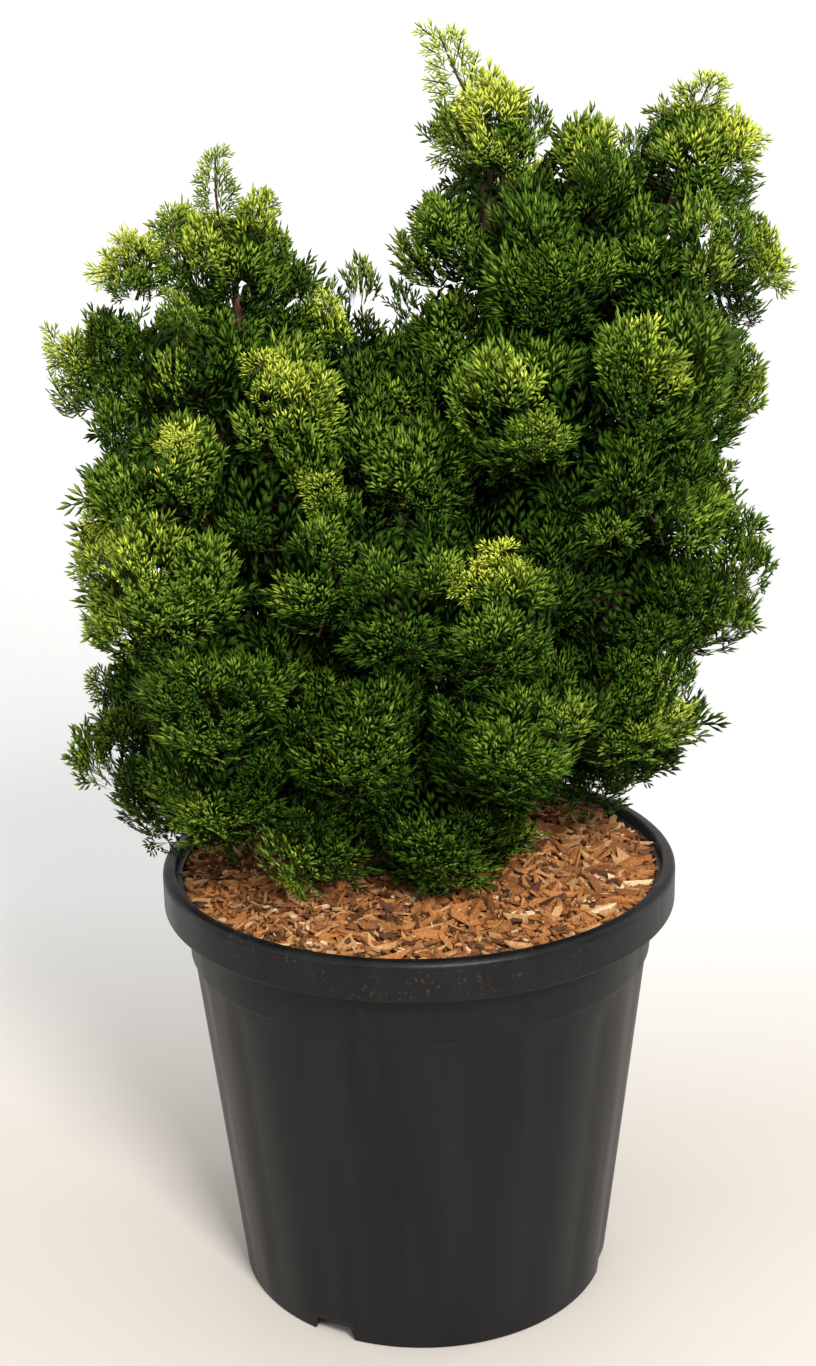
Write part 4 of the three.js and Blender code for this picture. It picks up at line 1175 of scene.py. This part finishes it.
def stem_path(mass, carrier, path, lobes):
    """A mass's stem through its lobes, from its bough's tip or the best place on its leader or the trunk."""
    centres = [lobe["centre"] for lobe in lobes]
    if carrier == f"{mass}_bough":
        root = path[-1]
    else:
        places = along(path, np.linspace(0, 1, STEM_PLACES + 1)[1:])
        drop = np.hypot(*(places - centres[0])[:, :2].T) * STEM_SLOPE
        gaps = np.linalg.norm(places - (centres[0] - drop[:, None] * UP), axis=1)
        root = places[gaps.argmin()]
    return smooth_path([root, *centres])


class Growth:
    """What grows in a mass: hands of fine tips, broad inner sprays, the ribs of fans, and twigs."""

    def __init__(self):
        self.hands = []
        self.inner = []
        self.ribs = []
        self.twigs = []


def branchlet(growth, root, heading, face, length, tone, full, random):
    """A rib with a hand of tips at its end, and side hands darkened with painted shade: one to one side, and
    where full one to the other.
    """
    across = np.cross(heading, face) * (1 if random.uniform() < 0.5 else -1)
    hand = min(HAND_LENGTH, HAND_SHARE * length) * random.uniform(*HAND_SIZES)
    rib_tone = min(tone - RIB_TONES[0], RIB_TONES[1])
    growth.ribs.append((root, heading, face, length - RIB_END * hand, rib_tone))
    growth.hands.append((root + heading * (length - hand), heading, face, hand, tone))
    turn = HAND_TURN * random.uniform(*HAND_TURNS)
    size = hand * random.uniform(*SIDE_HAND_SIZES)
    for share, side in ((SIDE_HAND, 1), (LOW_HAND, -1)) if full else ((SIDE_HAND, 1),):
        direction = unit(heading * math.cos(turn) + side * across * math.sin(turn) + face * HAND_CURL)
        growth.hands.append((root + heading * length * share, direction, face, size, tone - SIDE_HAND_TONE))


def tuft(growth, root, axis, outward, length, width, tone, random):
    """A thick fan of branchlets, its flat side outward, the outer ones shorter and leaning away."""
    side = np.cross(axis, outward) + random.normal(0, FAN_STRAY, 3)
    side = unit(side - axis * (side @ axis))
    other = np.cross(axis, side)
    count = max(FEWEST_BRANCHLETS, round(BRANCHLETS * (length / TUFT_LENGTH) ** BRANCHLET_POWER))
    first = random.uniform(0, 2 * math.pi)
    for k in range(count):
        spread = math.acos(1 - (1 - math.cos(BRANCHLET_LEAN)) * (k + 0.5) / count) * width
        angle = first + k * GOLDEN_ANGLE
        lean = np.array((math.cos(angle), math.sin(angle))) * TUFT_WIDTHS * spread
        away = np.hypot(*lean)
        apart = (side * lean[0] + other * lean[1]) / away * math.sin(away)
        heading = unit(axis * math.cos(away) + apart + random.normal(0, BRANCHLET_STRAY, 3))
        face = unit(other + random.normal(0, HAND_STRAY, 3))
        share = spread / (BRANCHLET_LEAN * width)
        start = root + apart * FAN_ROOT * length
        start = start + axis * length * BRANCHLET_RISE * (1 - share)
        reach = 1 - BRANCHLET_DROP * share**2 - BRANCHLET_RISE * (1 - share)
        reach *= length * random.uniform(*BRANCHLET_REACHES)
        if random.uniform() < LONG_BRANCHLETS:
            reach *= random.uniform(*LONG_REACHES)
        # Young growth lightens a branchlet; painted light lightens one that points up, and painted shade
        # darkens the fan's flanks.
        lighter = young_at(start + heading * reach) + RISING_TONE * heading[2] - FLANK_TONE * share**2
        branchlet(growth, start, heading, face, reach, tone + lighter, k % 2 == 0, random)


def young_at(point):
    """How many tones lighter a spray is that ends here: more where the plant's young growth is."""
    lighter = 0
    for x, y, z, radius, most in YOUNG_PLACES:
        gap = np.linalg.norm(point - (x, y, z))
        if gap < radius:
            lighter = max(lighter, most * min(1, 2 - 2 * gap / radius))
    return lighter


def upright_noise(point, across, up):
    """Noise that varies faster across than upwards, from about -0.5 to 0.5."""
    return noise.noise((point[0] * across, point[1] * across, point[2] * up))


def ridge_at(point):
    """How far the crown's surface stands out here."""
    return sum(depth * upright_noise(point, across, up) for across, up, depth in LUMPS)


def surface_share(lobe, arm, own):
    """How many times its arm a tuft reaches: to the one lumpy surface into which a mass's lobes merge."""
    shares = np.arange(*SURFACE_SEARCH)
    points = lobe["centre"] + arm * shares[:, None]
    merged = 0
    for part in own:
        gaps = (np.linalg.norm((points - part["centre"]) / part["radii"], axis=1) - 1) * part["radius"]
        merged = merged + np.exp(-gaps / BLEND)
    height = -BLEND * np.log(merged) - SURFACE_RISE - [ridge_at(point) for point in points]
    outside = height > 0
    return shares[outside.argmax()] if outside.any() else shares[-1]


def toned(tone, tip, space):
    """A tuft's tone, changed by where its tip lies: in a patch, high up, and with painted light on a ridge
    and painted shade in a hollow or a cleft.
    """
    tone += PATCH_TONE * upright_noise(tip, *PATCH_SCALES) + RIDGE_TONE * ridge_at(tip)
    tone += HEIGHT_TONE * (tip[2] - CROWN_MIDDLE)
    normals, offsets = space
    nearness = 1 - (offsets - normals @ tip).min() / CLEFT
    return tone - CLEFT_TONE * min(1, max(0, nearness))


def tufts_round(growth, lobe, own, space, crown, stem, random):
    """The tufts round a lobe that light reaches, with a twig to each from the mass's stem."""
    spacing = TUFT_SPACING * min(1, lobe["radius"] / SMALL_LOBE)
    count = round(4 * math.pi * lobe["radius"] ** 2 / spacing**2)
    for outward in round_places(count, random.uniform(0, 2 * math.pi)):
        outward = unit(outward + random.normal(0, TUFT_STRAY, 3))
        peaked = (random.uniform() < PEAKS) * max(0, outward[2]) ** 2 * (lobe["radius"] > INNER_LOBE)
        reach = random.uniform(*TUFT_REACHES) + PEAK * peaked
        # Painted light: a tuft on its lobe's top is lighter.
        tone = BASE_TONE + TOP_TONE * outward[2] + BRIGHT_TONE * (random.uniform() < BRIGHT_TUFTS)
        arm = outward * lobe["radii"]
        light = sky_share(lobe["centre"] + arm * LOOK_FROM, outward, crown)
        if light < TUFT_LIGHT or not inside(lobe["centre"] + arm * TUFT_KEEP, space):
            continue
        tip = lobe["centre"] + arm * reach * surface_share(lobe, arm, own)
        axis = unit(unit(arm) + UP * TUFT_LIFT)
        length = TUFT_LENGTH * random.uniform(*TUFT_LENGTHS)
        length = min(length, TUFT_MOST * np.linalg.norm(tip - lobe["centre"]))
        root = tip - axis * length
        tone = toned(tone, tip, space) + PEAK_TONE * peaked
        fan = Growth()
        tuft(fan, root, axis, outward, length, between((1, PEAK_WIDTH), peaked), tone, random)
        hands, ribs = ([part for part in kind if inside(part[0] + part[1] * part[3], space, PLANE_SLACK)]
                       for kind in (fan.hands, fan.ribs))
        depth = np.linalg.norm((root - lobe["centre"]) / lobe["radii"])
        if depth > FAN_START or len(hands) < FAN_LEAST * len(fan.hands):
            continue
        growth.hands += hands
        growth.ribs += ribs
        nearest = stem[np.linalg.norm(stem - root, axis=1).argmin()]
        middle = (nearest + root) / 2 - UP * TWIG_SAG
        growth.twigs.append((smooth_path([nearest, middle, root], TWIG_STEPS), TWIG_RADII))


def inner_sprays(growth, lobe, space, crown, random):
    """Broad sprays of painted shade under the tufts and at the bottom of the clefts, which close the mass;
    lighter as painted light where more of the sky is open.
    """
    for depth in INNER_DEPTHS if lobe["radius"] > INNER_LOBE else (SMALL_LOBE_DEPTH,):
        count = round(4 * math.pi * (lobe["radius"] * depth / INNER_SPACING) ** 2)
        for outward in round_places(count, random.uniform(0, 2 * math.pi)):
            place = lobe["centre"] + outward * lobe["radii"] * (depth + random.uniform(-1, 1) * INNER_STRAY)
            heading = UP - outward * outward[2] + random.normal(0, INNER_LEAN, 3)
            heading = unit(heading - outward * (heading @ outward))
            if not inside(place, space, INNER_SLACK) or place[2] < FOLIAGE_FLOOR + INNER_LENGTH / 2:
                continue
            light = sky_share(lobe["centre"] + outward * lobe["radii"] * LOOK_FROM, outward, crown)
            if depth < INNER_DEPTHS[-1] or 0 < light < INNER_LIGHT:
                root = place - heading * INNER_LENGTH / 2
                tone = INNER_TONES[0] + INNER_TONES[1] * light
                growth.inner.append((root, heading, outward, INNER_LENGTH, tone))


def cleft_sprays(growth, crown, random):
    """Broad sprays of painted shade between the lobes, where hardly any light gets in."""
    low = (crown["centres"] - crown["radii"]).min(0)
    high = (crown["centres"] + crown["radii"]).max(0)
    rows = (np.arange(start, end, CLEFT_SPACING) for start, end in zip(low, high))
    places = np.stack(np.meshgrid(*rows), -1).reshape(-1, 3)
    places += random.uniform(-CLEFT_STRAY, CLEFT_STRAY, places.shape) * CLEFT_SPACING
    for place in places:
        nearness = np.linalg.norm((place - crown["centres"]) / crown["radii"], axis=1).min()
        if not CLEFT_REACH[0] < nearness < CLEFT_REACH[1] or place[2] < FOLIAGE_FLOOR + INNER_LENGTH:
            continue
        if sky_share(place, None, crown) < CLEFT_LIGHT:
            heading = unit(UP + random.normal(0, CLEFT_LEAN, 3))
            face = unit(random.normal(0, 1, 3) * (1, 1, CLEFT_TIP))
            root = place - heading * INNER_LENGTH / 2
            growth.inner.append((root, heading, face, INNER_LENGTH, INNER_TONES[0]))


def shoot(growth, root, heading, face, length, tone, random):
    """A sprig's side shoot: a rib with a hand at its end and hands to both sides."""
    rib_tone = min(tone - SHOOT_RIB_TONES[0], SHOOT_RIB_TONES[1])
    growth.ribs.append((root, heading, face, length, rib_tone))
    end_hand = min(SHOOT_HAND, SHOOT_HAND_SHARE * length)
    growth.hands.append((root + heading * (length - end_hand), heading, face, end_hand, tone))
    across = np.cross(heading, face)
    # Painted shade: a shoot's side hands are darker.
    side_tone = tone - SHOOT_HAND_TONE
    for number, share in enumerate(SHOOT_HANDS):
        turned_to = 1 if number % 2 else -1
        direction = unit(heading * math.cos(HAND_TURN) + across * turned_to * math.sin(HAND_TURN))
        size = min(SHOOT_HAND * random.uniform(*SHOOT_HAND_SIZES), length * (1 - share))
        growth.hands.append((root + heading * length * share, direction, face, size, side_tone))


def sprig(growth, tip, lobes, boldness, random):
    """A bending twig from the nearest lobe's middle to a point outside it, with shoots to its left and its
    right that get shorter and further apart toward its tip."""
    nearest = min(lobes, key=lambda lobe: np.linalg.norm(lobe["centre"] - tip))
    level = 1 - unit(tip - nearest["centre"])[2]
    start = nearest["centre"] - UP * SPRIG_DIP * nearest["radius"] * min(1, level)
    length = np.linalg.norm(tip - start)
    side = unit(np.cross(tip - start, FRONT))
    bend = side * length * SPRIG_BEND * random.choice((-1, 1))
    path = smooth_path([start, (start + tip) / 2 + bend, tip], SPRIG_STEPS)
    tone = BASE_TONE + SPRIG_TONE + young_at(tip)
    growth.twigs.append((along(path, np.linspace(0, SPRIG_TWIG, SPRIG_STEPS)), TWIG_RADII))
    last = SPRIG_SHOOTS[1] * boldness
    share, turned_to = SPRIG_START, 1
    while share < 1 - SPRIG_STOP * SPRIG_SHOOTS[1] * boldness / length:
        place, ahead = along(path, [share, min(1, share + SPRIG_AHEAD)])
        axis = unit(ahead - place)
        side = unit(np.cross(axis, FRONT))
        front = np.cross(side, axis)
        done = (share - SPRIG_START) / (1 - SPRIG_START)
        size = between(SPRIG_SHOOTS, done) * boldness
        turn = between(SPRIG_TURNS, done) * random.uniform(*HAND_TURNS)
        lean = (1 - done) * SPRIG_DEPTH * random.uniform(-1, 1)
        heading = axis * math.cos(turn) + unit(side * turned_to + front * lean) * math.sin(turn)
        size *= random.uniform(*SHOOT_LENGTHS)
        shaded = SPRIG_SHADE[1] * (done < SPRIG_SHADE[0])
        shoot(growth, place, heading, front, size, tone - shaded, random)
        share += between(SPRIG_FORKS, done) * boldness ** 0.5 / length
        turned_to = -turned_to
    shoot(growth, tip - axis * last, axis, front, last, tone, random)


def hand_shape(random, width=1.0):
    """Strokes of a hand a unit long: start, end, width and level."""
    strokes = [((0.0, low), (0.0, high), share, level) for low, high, share, level in HAND_AXIS]
    for place, (height, turn, size, level) in enumerate(HAND_SIDES):
        side = 1 if place % 2 else -1
        turn *= random.uniform(*STROKE_TURNS)
        size *= random.uniform(*STROKE_LENGTHS)
        height += random.uniform(-STROKE_SHIFT, STROKE_SHIFT)
        end = (side * size * math.sin(turn), height + size * math.cos(turn))
        strokes.append(((0.0, height), end, random.uniform(*STROKE_WIDTHS), level))
    return [(start, end, STROKE_WIDTH * width * share, level) for start, end, share, level in strokes]


def kite(start, end, width):
    """The four corners of a stroke in a hand's frame: its two ends, and its two sides a little raised."""
    start, end = np.array((*start, 0.0)), np.array((*end, 0.0))
    sideways = unit(np.cross(end - start, UP)) * width / 2
    belly = start + (end - start) * STROKE_BELLY + UP * width * STROKE_DEPTH
    return np.array([start, end, belly + sideways, belly - sideways])


KITE_FACES = np.array([(0, 2, 3), (1, 3, 2), (0, 1, 2), (0, 3, 1)])


def place_shape(shape, grown):
    """Strokes of one shape at the places of a list (root, heading, face, length, tone): the strokes' corners
    (places, strokes, 4, 3), and their tones (places, strokes)."""
    roots, headings, faces = (np.array([part[k] for part in grown]) for k in range(3))
    lengths, tones = (np.array([part[k] for part in grown]) for k in (3, 4))
    faces = faces - headings * (faces * headings).sum(1)[:, None]
    faces /= np.linalg.norm(faces, axis=1)[:, None]
    across = np.cross(headings, faces)
    local = np.array([kite(start, end, width) for start, end, width, _ in shape])
    x, y = local[..., 0, None], local[..., 1, None]
    z = local[..., 2, None] + HAND_CUP * y**2
    corners = across[:, None, None] * x + headings[:, None, None] * y + faces[:, None, None] * z
    # Painted shade on a hand's lower strokes, and lighter leading tips, partly young growth and partly
    # painted light.
    levels = np.array([LEVEL_TONES[level] for *_, level in shape])
    return roots[:, None, None] + corners * lengths[:, None, None, None], tones[:, None] + levels


def clear_of(grown, limbs):
    """The parts that end within reach, with their middles outside every limb and every opening."""
    points = np.array([root + heading * length / 2 for root, heading, _, length, _ in grown])
    ends = np.array([root + heading * length for root, heading, _, length, _ in grown])
    low, high = (np.array(corner) for corner in SOLIDS_BOX)
    slack = REACH_SLACK * (high - low)
    free = ((ends > low - slack) & (ends < high + slack)).all(1)
    forward, right, up = camera_axes()
    for column, row, radius in SKY_OPENINGS:
        x, y = (column - PHOTO_MIDDLE[0]) / FOCAL_LENGTH, (PHOTO_MIDDLE[1] - row) / FOCAL_LENGTH
        sight = unit(forward + right * x + up * y)
        seen = points - EYE
        far = seen @ sight
        aside = np.linalg.norm(seen - far[:, None] * sight, axis=1)
        free &= (aside > radius + OPENING_MARGIN) | (far > OPENING_REACH)
    for path, radii in limbs.values():
        shares = np.linspace(0, 1, max(3, round(path_length(path) / LIMB_STEP)))
        for centre, share in zip(along(path, shares), shares):
            free &= ((points - centre) ** 2).sum(1) > between(radii, share) ** 2
    return [part for part, kept in zip(grown, free) if kept]


def grow_crown(limbs):
    """Everything that grows on the limbs, as one growth."""
    lobes_by_mass = {name: [lobe_of(row) for row in rows] for name, (_, rows, _) in MASSES.items()}
    lobes = [lobe for rows in lobes_by_mass.values() for lobe in rows]
    crown = {"centres": np.array([lobe["centre"] for lobe in lobes]),
             "radii": np.array([lobe["radii"] for lobe in lobes])}
    growth = Growth()
    for index, (name, (carrier, _, tips)) in enumerate(MASSES.items()):
        random = np.random.default_rng(FOLIAGE_SEED + index)
        own = lobes_by_mass[name]
        stem = stem_path(name, carrier, limbs[carrier][0], own)
        growth.twigs.append((stem, STEM_RADII))
        for lobe in own:
            space = space_of(lobe, name, lobes_by_mass)
            tufts_round(growth, lobe, own, space, crown, stem, random)
            inner_sprays(growth, lobe, space, crown, random)
        for tip in tips:
            sprig(growth, np.array(tip), own, BOLD_SPRIGS.get(name, 1), random)
    cleft_sprays(growth, crown, np.random.default_rng(FOLIAGE_SEED - 1))
    return growth


def crown_strokes(growth, limbs):
    """The corners of every stroke that stays, (strokes, 4, 3), and their whole tones."""
    random = np.random.default_rng(FOLIAGE_SEED)
    hands = clear_of(growth.hands, limbs)
    chosen = random.integers(0, HAND_VARIANTS, len(hands))
    placed = []
    for variant in range(HAND_VARIANTS):
        mine = [hand for hand, which in zip(hands, chosen) if which == variant]
        placed.append(place_shape(hand_shape(random), mine))
    placed.append(place_shape(hand_shape(random, INNER_WIDTH), clear_of(growth.inner, limbs)))
    ribs = [part for part in clear_of(growth.ribs, limbs) if part[3] > RIB_LEAST]
    placed.append(place_shape([((0.0, 0.0), (0.0, 1.0), RIB_WIDTH / RIB_LENGTH, 0)], ribs))
    corners = np.concatenate([strokes.reshape(-1, 4, 3) for strokes, _ in placed])
    tones = np.concatenate([tones.ravel() for _, tones in placed])
    return corners, np.rint(np.clip(tones, 0, len(TONES) - 1))


def dress_masses(corners, tones):
    """The strokes as one material's pieces for each tone."""
    for tone, (name, (dark, light)) in enumerate(TONES.items()):
        material = tip_material(name, dark, light)
        strokes = corners[tones == tone]
        for part, batch in enumerate(np.array_split(strokes, math.ceil(len(strokes) / MOST_STROKES))):
            piece = join(f"foliage_{name}_{part + 1}", batch, KITE_FACES, material)
            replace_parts(piece, *MASSES)


def dress_twigs(twigs):
    tubes = [tube(path, radii, *TWIG_TUBE) for path, radii in twigs]
    starts = np.cumsum([0, *(len(corners) for corners, _ in tubes)])
    corners = np.concatenate([corners for corners, _ in tubes])
    faces = np.concatenate([faces + start for (_, faces), start in zip(tubes, starts)])
    piece = add_piece("twigs", corners, faces, twig_material())
    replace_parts(piece, *MASSES)


def dress_crown(limbs):
    growth = grow_crown(limbs)
    dress_masses(*crown_strokes(growth, limbs))
    dress_twigs(growth.twigs)


make_camera()
light_studio()
make_stage()
make_pot()
soil = soil_material()
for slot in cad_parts["root_ball"].material_slots:
    slot.material = soil
make_mulch_bed()
make_chips()
limbs = make_limbs()
dress_limbs(limbs)
dress_crown(limbs)
